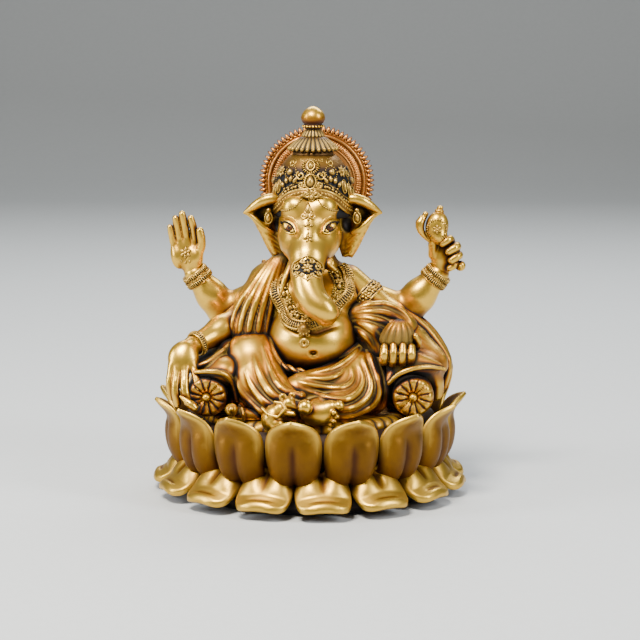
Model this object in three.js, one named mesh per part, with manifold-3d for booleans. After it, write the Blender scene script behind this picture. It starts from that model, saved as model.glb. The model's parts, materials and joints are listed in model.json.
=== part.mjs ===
// Seated Ganesha idol on a double lotus: a painted resin figure for a dashboard or a shelf.
// Millimetres, +Z up, the figure faces -Y, and its own left hand is on the +X side.
// The origin is the centre of the footprint, on the surface that the idol stands on.
import * as THREE from "three";
import Module from "manifold-3d";
import { mergeVertices } from "three/addons/utils/BufferGeometryUtils.js";

const wasm = await Module();
wasm.setup();

// ---- Driving dimensions ------------------------------------------------------------------------
const BASE_RADIUS = 50; // tips of the lower petals
const TOTAL_HEIGHT = 122.6; // to the top of the crown's finial
const GLUE_GAP = 0.3; // between any two pieces
const PETALS = 15; // in each of the two rows
const SEAT_TOP = 27; // where the figure and the bolsters rest
const PAD = { radius: 39, thickness: 1 };
const LOWER_TIER = { bottom: 1.3, top: 11.1, turn: -18.5 }; // turn: a petal's angle from the front
const UPPER_TIER = { bottom: 11.4, top: 23.7, turn: -6.5, petalTop: 31 };
const SEAT = { radius: 35.4, thickness: 3 };
const BOLSTER = { x: 32.2, radius: 6.6, front: -23.5, back: 17 };
const BOLSTER_MIDDLE = SEAT_TOP + GLUE_GAP + BOLSTER.radius;
const HEAD = [-0.2, 0, 85.5];
const CROWN = { x: 1, y: 3.5, bandTop: 98, domeTop: 107.2, parasolTop: 115.8 };
const CROWN_TILT = 21; // degrees that the crown's lower edge rises towards the forehead
const HALO = { x: 2, z: 97.2, plate: 15.6, rim: 18.2, front: 13, thickness: 2.2 };

// Joints of the four arms, as [x, y, z, radius] of a ball that the flesh passes through.
const SHOULDER_RIGHT = [-14.5, 4, 66, 6];
const SHOULDER_LEFT = [14, 4, 67, 6.2];
const REAR_RIGHT = { elbow: [-28, 8, 56.6, 4.9], wrist: [-37, 6.2, 68.6, 3.3] };
const REAR_LEFT = { elbow: [32.6, 8, 56.6, 5], wrist: [41.2, 6.2, 68.6, 3.4] };
const FRONT_RIGHT = { elbow: [-22, 0, 54.6, 4.6], wrist: [-36.4, -13.2, 48.6, 3.2] };
const FRONT_LEFT = { elbow: [25.6, 0, 55.4, 5], wrist: [27, -12.6, 50, 3.6] };

const GOLD = { color: 0xc99a3c, roughness: 0.36, metalness: 0.85 };
const FINISHES = {
  gold: new THREE.MeshStandardMaterial(GOLD),
  cloth: new THREE.MeshStandardMaterial({ ...GOLD, color: 0xb87a2a }),
  ornament: new THREE.MeshStandardMaterial({ ...GOLD, color: 0x9a7a3c, roughness: 0.45 }),
  copper: new THREE.MeshStandardMaterial({ ...GOLD, color: 0xa8602c }),
  pad: new THREE.MeshStandardMaterial({ color: 0x1c1c1e, roughness: 0.95, metalness: 0 }),
};

// ---- Shapes ------------------------------------------------------------------------------------
// A three.js geometry as a closed manifold-3d solid.
function solid(geometry) {
  const bare = geometry.index ? geometry.toNonIndexed() : geometry;
  const position = bare.getAttribute("position");
  const merged = mergeVertices(new THREE.BufferGeometry().setAttribute("position", position), 1e-4);
  const corners = merged.index.array;
  const kept = [];
  for (let i = 0; i < corners.length; i += 3) {
    const [a, b, c] = corners.slice(i, i + 3);
    if (a !== b && b !== c && c !== a) kept.push(a, b, c);
  }
  const mesh = new wasm.Mesh({
    numProp: 3,
    vertProperties: merged.attributes.position.array,
    triVerts: new Uint32Array(kept),
  });
  return new wasm.Manifold(mesh);
}

const join = (...solids) => solids.reduce((all, one) => all.add(one));

// An ellipsoid. turn holds the three angles, in degrees, that it is turned by.
function ball([x, y, z], [rx, ry, rz], grow, turn = [0, 0, 0], around = 9) {
  const geometry = new THREE.SphereGeometry(1, around, Math.round(around * 0.6));
  const angles = turn.map(THREE.MathUtils.degToRad);
  geometry.scale(rx + grow, ry + grow, rz + grow);
  geometry.applyMatrix4(new THREE.Matrix4().makeRotationFromEuler(new THREE.Euler(...angles)));
  return solid(geometry.translate(x, y, z));
}

// A capsule from one ball to the next, each [x, y, z, radius], widening or narrowing on its way.
function capsule(from, to, grow, around) {
  const start = new THREE.Vector3(...from);
  const along = new THREE.Vector3(...to).sub(start);
  const length = along.length();
  const [r1, r2] = [from[3] + grow, to[3] + grow];
  const lean = Math.asin(THREE.MathUtils.clamp((r1 - r2) / length, -0.99, 0.99));
  const arc = Math.max(2, Math.round(around / 4));
  const profile = [];
  for (let i = 0; i <= arc; i++) {
    const angle = THREE.MathUtils.lerp(-Math.PI / 2, lean, i / arc);
    profile.push(new THREE.Vector2(i ? r1 * Math.cos(angle) : 0, r1 * Math.sin(angle)));
  }
  for (let i = 0; i <= arc; i++) {
    const angle = THREE.MathUtils.lerp(lean, Math.PI / 2, i / arc);
    const radius = i < arc ? r2 * Math.cos(angle) : 0;
    profile.push(new THREE.Vector2(radius, length + r2 * Math.sin(angle)));
  }
  const geometry = new THREE.LatheGeometry(profile, around);
  const UP = new THREE.Vector3(0, 1, 0);
  const turn = new THREE.Quaternion().setFromUnitVectors(UP, along.normalize());
  geometry.applyQuaternion(turn).translate(start.x, start.y, start.z);
  return solid(geometry);
}

// A chain of capsules through a list of balls: an arm, a finger or a heavy fold of cloth.
function limb(balls, grow, around = 7) {
  const parts = balls.slice(1).map((to, i) => capsule(balls[i], to, grow, around));
  return join(...parts);
}

// A solid of revolution round a vertical axis through (x, y). The outline holds [radius, z] pairs.
function turned([x, y], outline, grow, around = 28) {
  const middle = (outline[0][1] + outline[outline.length - 1][1]) / 2;
  const points = outline.map(
    ([r, z]) => new THREE.Vector2(r ? r + grow : 0, z + Math.sign(z - middle) * grow),
  );
  const geometry = new THREE.LatheGeometry(points, around);
  return solid(geometry.rotateX(Math.PI / 2).translate(x, y, 0));
}

// A flat plate that stands upright and faces the front: an outline in x and z, with a thickness.
function plate(outline, front, thickness, grow) {
  const shape = new THREE.Shape(outline.map(([x, z]) => new THREE.Vector2(x, z)));
  const depth = thickness + 2 * grow;
  const geometry = new THREE.ExtrudeGeometry(shape, { depth, bevelEnabled: false });
  return solid(geometry.rotateX(Math.PI / 2).translate(0, front + thickness + grow, 0));
}

// A cord or a chain: a round section drawn along a smooth line.
function cord(line, radius, grow, steps = 24, around = 8) {
  const path = new THREE.CatmullRomCurve3(line.map((p) => new THREE.Vector3(...p)));
  const section = new THREE.Shape();
  section.absarc(0, 0, radius + grow, 0, 2 * Math.PI);
  const options = { steps, extrudePath: path, curveSegments: around / 2, bevelEnabled: false };
  return solid(new THREE.ExtrudeGeometry(section, options));
}

// A round plate that stands upright and faces the front.
function disc([x, y, z], radius, thickness, grow, around = 32) {
  const grown = radius + grow;
  const geometry = new THREE.CylinderGeometry(grown, grown, thickness + 2 * grow, around);
  return solid(geometry.translate(x, y + thickness / 2, z));
}

// A band that goes round a limb at a point, square to the direction that the limb runs in.
function band([x, y, z], direction, radius, width, grow) {
  const geometry = new THREE.CylinderGeometry(radius + grow, radius + grow, width + 2 * grow, 16);
  const UP = new THREE.Vector3(0, 1, 0);
  const axis = new THREE.Vector3(...direction).normalize();
  geometry.applyQuaternion(new THREE.Quaternion().setFromUnitVectors(UP, axis));
  return solid(geometry.translate(x, y, z));
}

// A point at a share of the way between two balls, and the direction from one to the other.
const between = (a, b, share) => [0, 1, 2].map((k) => a[k] + (b[k] - a[k]) * share);
const heading = (a, b) => [0, 1, 2].map((k) => b[k] - a[k]);

// A petal that points to the front: an ellipsoid whose far end is bent away from the middle.
// bend is how far the tip is carried, as [y, z], and it sets in past the petal's centre.
function petal([y, z], [rx, ry, rz], bend, tilt, angle, grow) {
  const PETAL_SIDES = 8;
  const geometry = new THREE.SphereGeometry(1, PETAL_SIDES, 6);
  geometry.rotateX(Math.PI / 2);
  const position = geometry.getAttribute("position");
  const point = new THREE.Vector3();
  for (let i = 0; i < position.count; i++) {
    point.fromBufferAttribute(position, i);
    const past = Math.max(0, point.z) ** 2;
    const placed = [point.x * (rx + grow), point.y * (ry + grow), point.z * (rz + grow)];
    position.setXYZ(i, placed[0], placed[1] + bend[0] * past, placed[2] + bend[1] * past);
  }
  geometry.rotateX(THREE.MathUtils.degToRad(tilt)).translate(0, y, z);
  return solid(geometry.rotateZ(THREE.MathUtils.degToRad(angle)));
}

// A row of petals, set round the vertical axis.
function petalRow(centre, radii, bend, tilt, turn, grow) {
  const row = [];
  for (let i = 0; i < PETALS; i++) {
    row.push(petal(centre, radii, bend, tilt, turn + (360 / PETALS) * i, grow));
  }
  return join(...row);
}

// ---- Lotus base ----------------------------------------------------------------------------------
function lowerTier(grow) {
  const outline = [
    [0, LOWER_TIER.bottom],
    [42, LOWER_TIER.bottom],
    [43, 4],
    [37, 10],
    [35, LOWER_TIER.top],
    [0, LOWER_TIER.top],
  ];
  const centre = [9.2 - BASE_RADIUS, 6];
  const petals = petalRow(centre, [8.8, 4, 9.4], [1.6, -1.2], 106, LOWER_TIER.turn, grow);
  return join(turned([0, 0], outline, grow), petals);
}

function upperTier(grow) {
  const outline = [
    [0, UPPER_TIER.bottom],
    [34, UPPER_TIER.bottom],
    [38, 17],
    [40, UPPER_TIER.top],
    [0, UPPER_TIER.top],
  ];
  const centre = [-40.4, UPPER_TIER.petalTop - 10.8];
  const petals = petalRow(centre, [8.9, 3.4, 10.2], [-6.4, 0.9], 6, UPPER_TIER.turn, grow);
  return join(turned([0, 0], outline, grow), petals);
}

// A flat round piece between two heights.
const puck = (radius, bottom, top, grow) =>
  turned([0, 0], [[0, bottom], [radius, bottom], [radius, top], [0, top]], grow, 40);

// ---- Crown -----------------------------------------------------------------------------------------
// A block below the crown's sloping lower edge, which clears the forehead.
function belowCrown(rise) {
  const geometry = new THREE.BoxGeometry(60, 60, 40);
  const slope = new THREE.Matrix4().makeRotationX(THREE.MathUtils.degToRad(-CROWN_TILT));
  geometry.translate(0, 0, -20).applyMatrix4(slope);
  return solid(geometry.translate(CROWN.x, CROWN.y, 90.6 + rise));
}

const crownBowl = (widening, grow) =>
  turned(
    [CROWN.x, CROWN.y],
    [
      [0, 84],
      [12 + widening, 84],
      [12.2 + widening, 96],
      [10.9 + widening, 102],
      [8.6, 105.6],
      [6.8, CROWN.domeTop],
      [0, CROWN.domeTop],
    ],
    grow,
    20,
  );

const BAND_HEIGHT = 4.2;

function crownBand(grow) {
  const aboveBand = belowCrown(BAND_HEIGHT + grow);
  return crownBowl(0.8, grow).intersect(aboveBand).subtract(belowCrown(-grow));
}

const crownDome = (grow) => crownBowl(0, grow).subtract(belowCrown(BAND_HEIGHT + GLUE_GAP - grow));

const crownParasol = (grow) =>
  turned(
    [CROWN.x + 0.2, CROWN.y + 0.3],
    [
      [0, CROWN.domeTop + GLUE_GAP],
      [6.8, CROWN.domeTop + GLUE_GAP],
      [6.8, 109.2],
      [8.1, 109.8],
      [7, 111.8],
      [4.7, 113.2],
      [3.3, CROWN.parasolTop],
      [0, CROWN.parasolTop],
    ],
    grow,
    20,
  );

const crownFinial = (grow) =>
  turned(
    [CROWN.x + 0.2, CROWN.y + 0.3],
    [
      [0, CROWN.parasolTop + GLUE_GAP],
      [3.2, CROWN.parasolTop + GLUE_GAP],
      [3, 117.3],
      [3.8, 118.4],
      [3.4, 120.6],
      [1.6, 122.2],
      [0, TOTAL_HEIGHT],
    ],
    grow,
    16,
  );

// ---- Hands -----------------------------------------------------------------------------------------
// Fingers of one hand: each is a radius and the points that its middle line passes through.
const fingers = (list, grow) =>
  join(...list.map(([radius, ...line]) => cord(line, radius, grow, 3, 6)));

// Raised right hand, palm forward, in the gesture of blessing.
const blessingHand = (grow) =>
  join(
    ball([-39.6, 6.2, 75.2], [5.1, 2.7, 5.4], grow, [0, -6, 0]),
    fingers(
      [
        [1.38, [-36.6, 6, 79.6], [-37.2, 5.8, 84], [-38.4, 5.4, 87]],
        [1.38, [-39.2, 6, 80], [-40.4, 5.8, 84.6], [-41.2, 5.4, 87.6]],
        [1.28, [-41.4, 6, 79.2], [-42.6, 5.8, 83.2], [-43.2, 5.5, 86.2]],
        [1.18, [-43.2, 6, 77.6], [-44.4, 5.9, 81.2], [-44.8, 5.7, 84]],
        [1.62, [-36.4, 5.4, 74.6], [-34.8, 4.6, 79], [-35, 4.2, 82.6]],
      ],
      grow,
    ),
  );

// Raised left hand, closed on the grip of the conch.
const grippingHand = (grow) =>
  join(
    ball([43, 6, 74.6], [4.2, 3.8, 5.2], grow, [0, -20, 0]),
    fingers(
      [
        [1.7, [40.4, 4, 76], [42, 2.4, 80.2], [44.6, 1.8, 82]],
        [1.57, [44.6, 4.4, 80], [46.4, 2, 79], [45, 1, 77]],
        [1.57, [46.4, 4.4, 77.6], [48, 2.2, 76.6], [46.6, 1, 75]],
        [1.47, [46.4, 4.4, 74], [47.4, 2.4, 73.4], [46, 1.4, 72.4]],
      ],
      grow,
    ),
  );

// Lowered right hand, hanging over the bolster with its back to the front.
const hangingHand = (grow) =>
  join(
    ball([-40, -18.6, 44.2], [5, 3.4, 5.2], grow, [-20, 10, 0]),
    fingers(
      [
        [1.37, [-43.2, -20.4, 41], [-43.6, -21.8, 36.8], [-42.8, -21.6, 33.4]],
        [1.4, [-41.4, -21, 40.4], [-41.6, -23.2, 36], [-40.6, -23.4, 32.2]],
        [1.4, [-39, -21.2, 40.2], [-39, -24, 36.4], [-38.2, -24.8, 33.4]],
        [1.47, [-36.8, -20, 41.4], [-35.4, -22.6, 38.4], [-35.2, -23.6, 36.4]],
      ],
      grow,
    ),
  );

// Lowered left hand, fingers curled up round the sweet.
const offeringHand = (grow) =>
  join(
    ball([27.2, -16.4, 47.4], [4.6, 4.2, 4], grow),
    fingers(
      [
        [1.4, [24, -18.4, 45.8], [23.6, -21, 47.6], [24, -20.8, 51]],
        [1.5, [26, -18.8, 45.2], [25.8, -21.8, 47.2], [26, -21.6, 51]],
        [1.5, [28.2, -18.8, 45.2], [28.4, -21.8, 47.4], [28.4, -21.6, 51.4]],
        [1.4, [30.4, -18.2, 45.8], [30.6, -21, 47.8], [30.6, -20.8, 51.4]],
        [1.4, [31.4, -15.6, 47.4], [32.6, -18, 50], [32.4, -19, 52.4]],
      ],
      grow,
    ),
  );

// ---- Ears ------------------------------------------------------------------------------------------
// The outline of one ear on the +X side, and its mirror image for the other.
const EAR = [
  [9, 93],
  [14, 94.4],
  [18, 93.6],
  [21.4, 90],
  [22.6, 88.8],
  [20, 86.4],
  [18.4, 82.4],
  [15.4, 77.6],
  [12.6, 74.4],
  [9, 77],
];
const ear = (side, grow) =>
  plate(side > 0 ? EAR : EAR.map(([x, z]) => [-x + 1.6, z]).reverse(), 0.6, 3, grow);

// ---- Lines that the longer pieces follow ----------------------------------------------------------
const TRUNK = [
  [-0.4, -14, 76.4, 5.3],
  [-0.7, -18.6, 72.4, 4.9],
  [-0.2, -21.8, 67.6, 4.6],
  [1.4, -24, 63.4, 4.4],
  [4.2, -24.6, 60, 4.1],
  [6, -23.4, 57, 3],
];
const TUSK_RIGHT = [
  [-5.6, -15, 74, 1.3],
  [-8, -18, 69.6, 1.1],
  [-9, -19, 66, 0.5],
];
const TUSK_LEFT = [
  [5, -15, 74.6, 1.5],
  [7, -17.4, 73.6, 1.3],
];
const RIGHT_LEG = [
  [-10, 2, 38, 10.5],
  [-19, -10.5, 42.6, 8.6],
  [-16, -18, 38, 8],
  [-9, -26, 33.4, 6.4],
  [-3, -30, 31, 4.2],
];
const LEFT_LEG = [
  [8, 2, 38, 10.5],
  [16, -12, 38, 9],
  [17.4, -16, 35, 7.6],
  [9, -26, 31.6, 5.4],
  [2, -30, 30.4, 4.2],
];
const SHAWL_RIGHT = [
  [-9.6, 1, 73, 3.4],
  [-15.4, 1, 67.6, 6.4],
  [-18.2, -3, 60, 6.8],
  [-18.6, -6, 52.6, 6.2],
  [-17, -9, 47, 4.6],
];
const SHAWL_LEFT = [
  [14, -5, 59, 4.4],
  [22, -3, 56.6, 6.4],
  [28, -3, 54, 6.4],
];
const SHAWL_BACK = [
  [-13, 12, 64, 4.4],
  [0, 14, 58, 5.4],
  [14, 13, 62, 4.4],
];
const SHAWL_TAIL = [
  [31, 4, 55.6, 3.4],
  [38.6, 4, 48.6, 3.4],
  [42.6, 4, 40.6, 3.2],
  [42.6, 3, 34, 2.8],
  [41, 2, 30.6, 2.6],
];
const MOUSE = [
  [-11.6, -36.6, 29.6, 3],
  [-9.6, -37, 32.6, 3.1],
  [-6.4, -37, 35, 2.4],
  [-4.2, -37.4, 36, 2.1],
];
const BROKEN_TUSK = [
  [-38.6, -26.4, 33.6, 0.7],
  [-36, -27.2, 31.6, 1.3],
];
const WAIST_SASH = [
  [-12.6, -12, 45.4],
  [-7, -18, 42],
  [1, -20.6, 40.6],
  [8, -18.6, 42],
  [13.6, -12, 46],
];
const NECKLACE = [
  [-10, 0, 74.6],
  [-12.6, -6, 70],
  [-12, -11.4, 64.6],
  [-8.6, -15.6, 59],
  [-1.9, -18, 56],
  [5, -17, 57.4],
  [10.6, -13, 62],
  [12.6, -7.6, 68],
  [11, -1, 74.6],
];
const GARLAND = [
  [-8.6, -8, 70.6],
  [-8.4, -12.6, 65.6],
  [-6, -15.4, 61.4],
  [-1.6, -17, 59],
  [4, -16, 60.4],
  [8, -13, 65],
  [8.6, -8, 70.6],
];

// ---- Body, limbs and small pieces -----------------------------------------------------------------
const torso = (grow) =>
  join(
    ball([0.6, -2, 49.4], [15.4, 17, 13.4], grow, [0, 0, 0], 14),
    ball([0, 3, 61], [14.4, 10, 12], grow, [0, 0, 0], 10),
    ball([0, 4, 38], [16, 13, 11], grow, [0, 0, 0], 10),
    limb([SHOULDER_RIGHT, [0, 4, 68, 7.5], SHOULDER_LEFT], grow),
    ball([0, 3, 73], [8, 8, 7], grow, [0, 0, 0], 8),
  );

const head = (grow) =>
  join(
    ball(HEAD, [11, 11.6, 11.6], grow, [0, 0, 0], 14),
    ball([-5, -4.6, 79.6], [5.4, 7.2, 8], grow),
    ball([4.6, -4.6, 79.6], [5.4, 7.2, 8], grow),
    ball([-0.3, -9.6, 79.4], [5.6, 6, 7], grow),
  );

const haloPlate = (grow) => disc([HALO.x, HALO.front, HALO.z], HALO.plate, HALO.thickness, grow);
const haloRim = (grow) =>
  disc([HALO.x, HALO.front - 0.3, HALO.z], HALO.rim, HALO.thickness + 0.6, grow, 40);

const conch = (grow) =>
  join(
    ball([40.2, 4, 84.4], [4.2, 3.2, 5], grow, [0, 12, 0]),
    ball([40.4, 4, 90], [1.4, 1.4, 1.2], grow, [0, 0, 0], 8),
    ball([35.8, 4.6, 84.6], [1.7, 1.8, 4], grow, [0, 14, 0], 8),
  );

const rightFoot = (grow) =>
  join(
    ball([2.6, -35.6, 31], [6, 3.4, 4], grow, [0, 8, 0]),
    fingers(
      [
        [1.5, [5.4, -35.6, 32.8], [9.8, -36.6, 33.4]],
        [1.1, [5.6, -36.4, 30.6], [9.2, -37.4, 30.8]],
        [1, [5.2, -36.4, 28.8], [8.6, -37.4, 28.8]],
      ],
      grow,
    ),
  );

const mouse = (grow) => join(limb(MOUSE, grow), ball([-7, -36, 37.6], [1.2, 0.8, 1.3], grow));

const pendant = (grow) =>
  join(
    ball([-1.2, -19.6, 53], [2.3, 1.3, 2.3], grow, [-12, 0, 0], 10),
    ball([-1.2, -20.2, 50.2], [1.4, 1.1, 1.5], grow, [0, 0, 0], 8),
  );

// A bolster lies front to back on the seat, and its button closes the gathers at the front end.
function bolster(side, grow) {
  const middle = [side * BOLSTER.x, (BOLSTER.front + BOLSTER.back) / 2, BOLSTER_MIDDLE];
  return band(middle, [0, 1, 0], BOLSTER.radius, BOLSTER.back - BOLSTER.front, grow);
}

const button = (side, grow) =>
  ball([side * BOLSTER.x, BOLSTER.front - 1.3, BOLSTER_MIDDLE], [1.3, 1, 1.3], grow);

// A bracelet at a share of the way from one joint of an arm to the next.
const bracelet = (from, to, share, radius, width, grow) =>
  band(between(from, to, share), heading(from, to), radius, width, grow);

// A small ornament or sweet: an upright ellipsoid.
const bead = (centre, radii, grow) => ball(centre, radii, grow, [0, 0, 0], 8);

// ---- Every piece, from the inside outwards: a later piece gives way to an earlier one --------------
const PIECES = [
  ["base_pad", "pad", (g) => puck(PAD.radius, 0, PAD.thickness, g)],
  ["lotus_lower_tier", "gold", lowerTier],
  ["lotus_upper_tier", "gold", upperTier],
  ["seat_disc", "cloth", (g) => puck(SEAT.radius, SEAT_TOP - SEAT.thickness, SEAT_TOP, g)],
  ["torso", "gold", torso],
  ["head", "gold", head],
  ["trunk", "gold", (g) => limb(TRUNK, g, 9)],
  ["tusk_right", "gold", (g) => limb(TUSK_RIGHT, g)],
  ["tusk_left_broken", "gold", (g) => limb(TUSK_LEFT, g)],
  ["ear_right", "gold", (g) => ear(-1, g)],
  ["ear_left", "gold", (g) => ear(1, g)],
  ["halo_plate", "copper", haloPlate],
  ["halo_rim", "copper", haloRim],
  ["crown_band", "ornament", crownBand],
  ["crown_dome", "ornament", crownDome],
  ["crown_parasol", "ornament", crownParasol],
  ["crown_finial", "gold", crownFinial],
  ["rear_right_upper_arm", "gold", (g) => limb([SHOULDER_RIGHT, REAR_RIGHT.elbow], g)],
  ["rear_right_forearm", "gold", (g) => limb([REAR_RIGHT.elbow, REAR_RIGHT.wrist], g)],
  ["rear_right_hand", "gold", blessingHand],
  [
    "rear_right_bangle",
    "ornament",
    (g) => bracelet(REAR_RIGHT.elbow, REAR_RIGHT.wrist, 0.97, 4.6, 4, g),
  ],
  ["rear_left_upper_arm", "gold", (g) => limb([SHOULDER_LEFT, REAR_LEFT.elbow], g)],
  ["rear_left_forearm", "gold", (g) => limb([REAR_LEFT.elbow, REAR_LEFT.wrist], g)],
  ["rear_left_hand", "gold", grippingHand],
  [
    "rear_left_bangle",
    "ornament",
    (g) => bracelet(REAR_LEFT.elbow, REAR_LEFT.wrist, 0.95, 4.7, 4, g),
  ],
  ["conch", "ornament", conch],
  ["conch_tip", "ornament", (g) => bead([48.2, 3.4, 71.6], [1.6, 2, 1.7], g)],
  ["dhoti_right_leg", "cloth", (g) => limb(RIGHT_LEG, g, 8)],
  ["dhoti_left_leg", "cloth", (g) => limb(LEFT_LEG, g, 8)],
  ["waist_sash", "cloth", (g) => cord(WAIST_SASH, 1.2, g, 16, 6)],
  ["right_foot", "gold", rightFoot],
  ["mouse", "gold", mouse],
  ["mouse_sweet", "gold", (g) => bead([-1.6, -39.4, 33.8], [2.2, 2.2, 2.2], g)],
  [
    "front_right_arm",
    "gold",
    (g) => limb([SHOULDER_RIGHT, FRONT_RIGHT.elbow, FRONT_RIGHT.wrist], g),
  ],
  ["front_right_hand", "gold", hangingHand],
  [
    "front_right_bangle",
    "ornament",
    (g) => bracelet(FRONT_RIGHT.elbow, FRONT_RIGHT.wrist, 0.95, 4.3, 2.2, g),
  ],
  ["broken_tusk", "gold", (g) => limb(BROKEN_TUSK, g)],
  ["front_left_arm", "gold", (g) => limb([SHOULDER_LEFT, FRONT_LEFT.elbow, FRONT_LEFT.wrist], g)],
  ["sweet", "ornament", (g) => bead([27.2, -15.8, 52], [4, 3.6, 3.8], g)],
  ["front_left_hand", "gold", offeringHand],
  [
    "armlet_left",
    "ornament",
    (g) => bracelet(SHOULDER_LEFT, FRONT_LEFT.elbow, 0.62, 6.6, 3.4, g),
  ],
  ["shawl_right", "cloth", (g) => limb(SHAWL_RIGHT, g, 8)],
  ["shawl_left", "cloth", (g) => limb(SHAWL_LEFT, g, 8)],
  ["shawl_back", "cloth", (g) => limb(SHAWL_BACK, g, 8)],
  ["bolster_right", "cloth", (g) => bolster(-1, g)],
  ["bolster_left", "cloth", (g) => bolster(1, g)],
  ["bolster_right_button", "gold", (g) => button(-1, g)],
  ["bolster_left_button", "gold", (g) => button(1, g)],
  ["cover_right", "cloth", (g) => ball([-29.4, -4, 41], [9, 17.6, 5.6], g, [0, 0, 0], 12)],
  ["cushion_left", "cloth", (g) => ball([34, -4, 42], [10.4, 17.6, 6.4], g, [0, 0, 0], 12)],
  ["shawl_left_tail", "cloth", (g) => limb(SHAWL_TAIL, g)],
  ["tassel", "ornament", (g) => bead([-24.4, -29.4, 30], [1.9, 1.9, 2.4], g)],
  ["necklace", "ornament", (g) => cord(NECKLACE, 1.7, g, 28, 6)],
  ["pendant", "ornament", pendant],
  ["garland", "ornament", (g) => cord(GARLAND, 1.3, g, 20, 6)],
  ["forehead_ornament", "ornament", (g) => ball([-0.5, -12, 88.4], [2.6, 0.9, 4.6], g, [12, 0, 0])],
  ["trunk_band", "ornament", (g) => ball([-0.6, -19.6, 75], [5.2, 2.2, 3], g, [35, 0, 0], 10)],
  ["earring_right", "ornament", (g) => bead([-13.4, -0.8, 86.4], [0.9, 0.8, 1.6], g)],
  ["earring_left", "ornament", (g) => bead([14.8, -0.8, 86.8], [0.9, 0.8, 1.6], g)],
];

// The largest body of a solid that its neighbours have cut into several.
function largest(cut) {
  const bodies = cut.asOriginal().simplify(0.08).decompose();
  return bodies.reduce((best, one) => (one.volume() > best.volume() ? one : best), bodies[0]);
}

// A manifold-3d solid as a three.js mesh.
function mesh(name, finish, made) {
  const { numProp, vertProperties, triVerts, numVert } = made.getMesh();
  const position = new Float32Array(numVert * 3);
  for (let i = 0; i < numVert; i++) {
    position.set(vertProperties.subarray(i * numProp, i * numProp + 3), i * 3);
  }
  const geometry = new THREE.BufferGeometry();
  geometry.setAttribute("position", new THREE.BufferAttribute(position, 3));
  geometry.setIndex(new THREE.BufferAttribute(triVerts, 1));
  geometry.computeVertexNormals();
  const one = new THREE.Mesh(geometry, FINISHES[finish]);
  one.name = name;
  return one;
}

const idol = new THREE.Group();
idol.name = "ganesha_idol";
const placed = [];
for (const [name, finish, build] of PIECES) {
  const own = placed.reduce((left, earlier) => left.subtract(earlier), build(0));
  idol.add(mesh(name, finish, largest(own)));
  placed.push(build(GLUE_GAP));
}

export default idol;
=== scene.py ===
import json
import math

import bpy
import numpy as np
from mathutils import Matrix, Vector


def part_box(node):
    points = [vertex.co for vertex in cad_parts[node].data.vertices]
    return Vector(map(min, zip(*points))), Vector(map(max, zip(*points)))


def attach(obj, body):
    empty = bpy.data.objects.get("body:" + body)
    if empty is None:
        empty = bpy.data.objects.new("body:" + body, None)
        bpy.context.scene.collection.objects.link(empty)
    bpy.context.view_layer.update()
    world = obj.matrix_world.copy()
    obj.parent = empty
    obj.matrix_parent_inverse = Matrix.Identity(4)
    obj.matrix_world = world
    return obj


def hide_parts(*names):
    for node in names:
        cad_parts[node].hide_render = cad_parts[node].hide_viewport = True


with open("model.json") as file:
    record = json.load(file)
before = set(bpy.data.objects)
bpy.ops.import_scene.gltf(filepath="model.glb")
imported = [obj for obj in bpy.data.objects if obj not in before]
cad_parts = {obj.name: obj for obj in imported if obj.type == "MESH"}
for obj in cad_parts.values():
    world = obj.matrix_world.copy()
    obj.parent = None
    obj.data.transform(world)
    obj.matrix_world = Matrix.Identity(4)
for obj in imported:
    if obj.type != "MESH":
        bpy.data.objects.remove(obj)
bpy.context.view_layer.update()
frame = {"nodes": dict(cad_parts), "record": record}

MM = 0.001


def corner_mm(node, which):
    """One corner of a CAD node's box, in millimetres: 0 is the lowest and 1 the highest."""
    return np.array(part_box(node)[which]) / MM


# ---- Distance fields -----------------------------------------------------------------------------
CULL = 5.2  # beyond this distance from its box a shape isn't worked out


class Shape:
    """A solid as a function from points to signed distances, with the box that holds it."""

    def __init__(self, field, low, high):
        self.field = field
        self.low = np.asarray(low, float)
        self.high = np.asarray(high, float)

    def __call__(self, points):
        return self.field(points)


def smooth_min(a, b, blend):
    if blend <= 0:
        return np.minimum(a, b)
    share = np.clip(0.5 + 0.5 * (b - a) / blend, 0, 1)
    return b + (a - b) * share - blend * share * (1 - share)


def turn_matrix(degrees):
    x, y, z = np.radians(degrees)
    about_x = [[1, 0, 0], [0, math.cos(x), -math.sin(x)], [0, math.sin(x), math.cos(x)]]
    about_y = [[math.cos(y), 0, math.sin(y)], [0, 1, 0], [-math.sin(y), 0, math.cos(y)]]
    about_z = [[math.cos(z), -math.sin(z), 0], [math.sin(z), math.cos(z), 0], [0, 0, 1]]
    return np.array(about_x) @ np.array(about_y) @ np.array(about_z)


def ball(centre, radii, turn=(0, 0, 0)):
    """An ellipsoid, turned by three angles in degrees."""
    centre, radii, turned = np.array(centre, float), np.array(radii, float), turn_matrix(turn)

    def field(points):
        local = (points - centre) @ turned
        near = np.linalg.norm(local / radii, axis=1)
        steep = np.linalg.norm(local / radii**2, axis=1)
        return near * (near - 1) / np.maximum(steep, 1e-6)

    return Shape(field, centre - radii.max(), centre + radii.max())


def limb(balls, blend=0.0):
    """A tapering solid through a chain of balls, each [x, y, z, radius]."""
    balls = np.array(balls, float)

    def field(points):
        best = None
        for a, b in zip(balls, balls[1:]):
            axis = b[:3] - a[:3]
            along = np.clip((points - a[:3]) @ axis / (axis @ axis + 1e-9), 0, 1)
            offset = points - a[:3] - along[:, None] * axis
            distance = np.linalg.norm(offset, axis=1) - (a[3] + along * (b[3] - a[3]))
            best = distance if best is None else smooth_min(best, distance, blend)
        return best

    reach = balls[:, 3:4]
    return Shape(field, (balls[:, :3] - reach).min(0), (balls[:, :3] + reach).max(0))


def half_space(centre, normal):
    """Everything behind a plane whose outward normal is given."""
    centre, normal = np.array(centre, float), np.array(normal, float)
    normal = normal / np.linalg.norm(normal)
    return Shape(lambda p: (p - centre) @ normal, [-999] * 3, [999] * 3)


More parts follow.
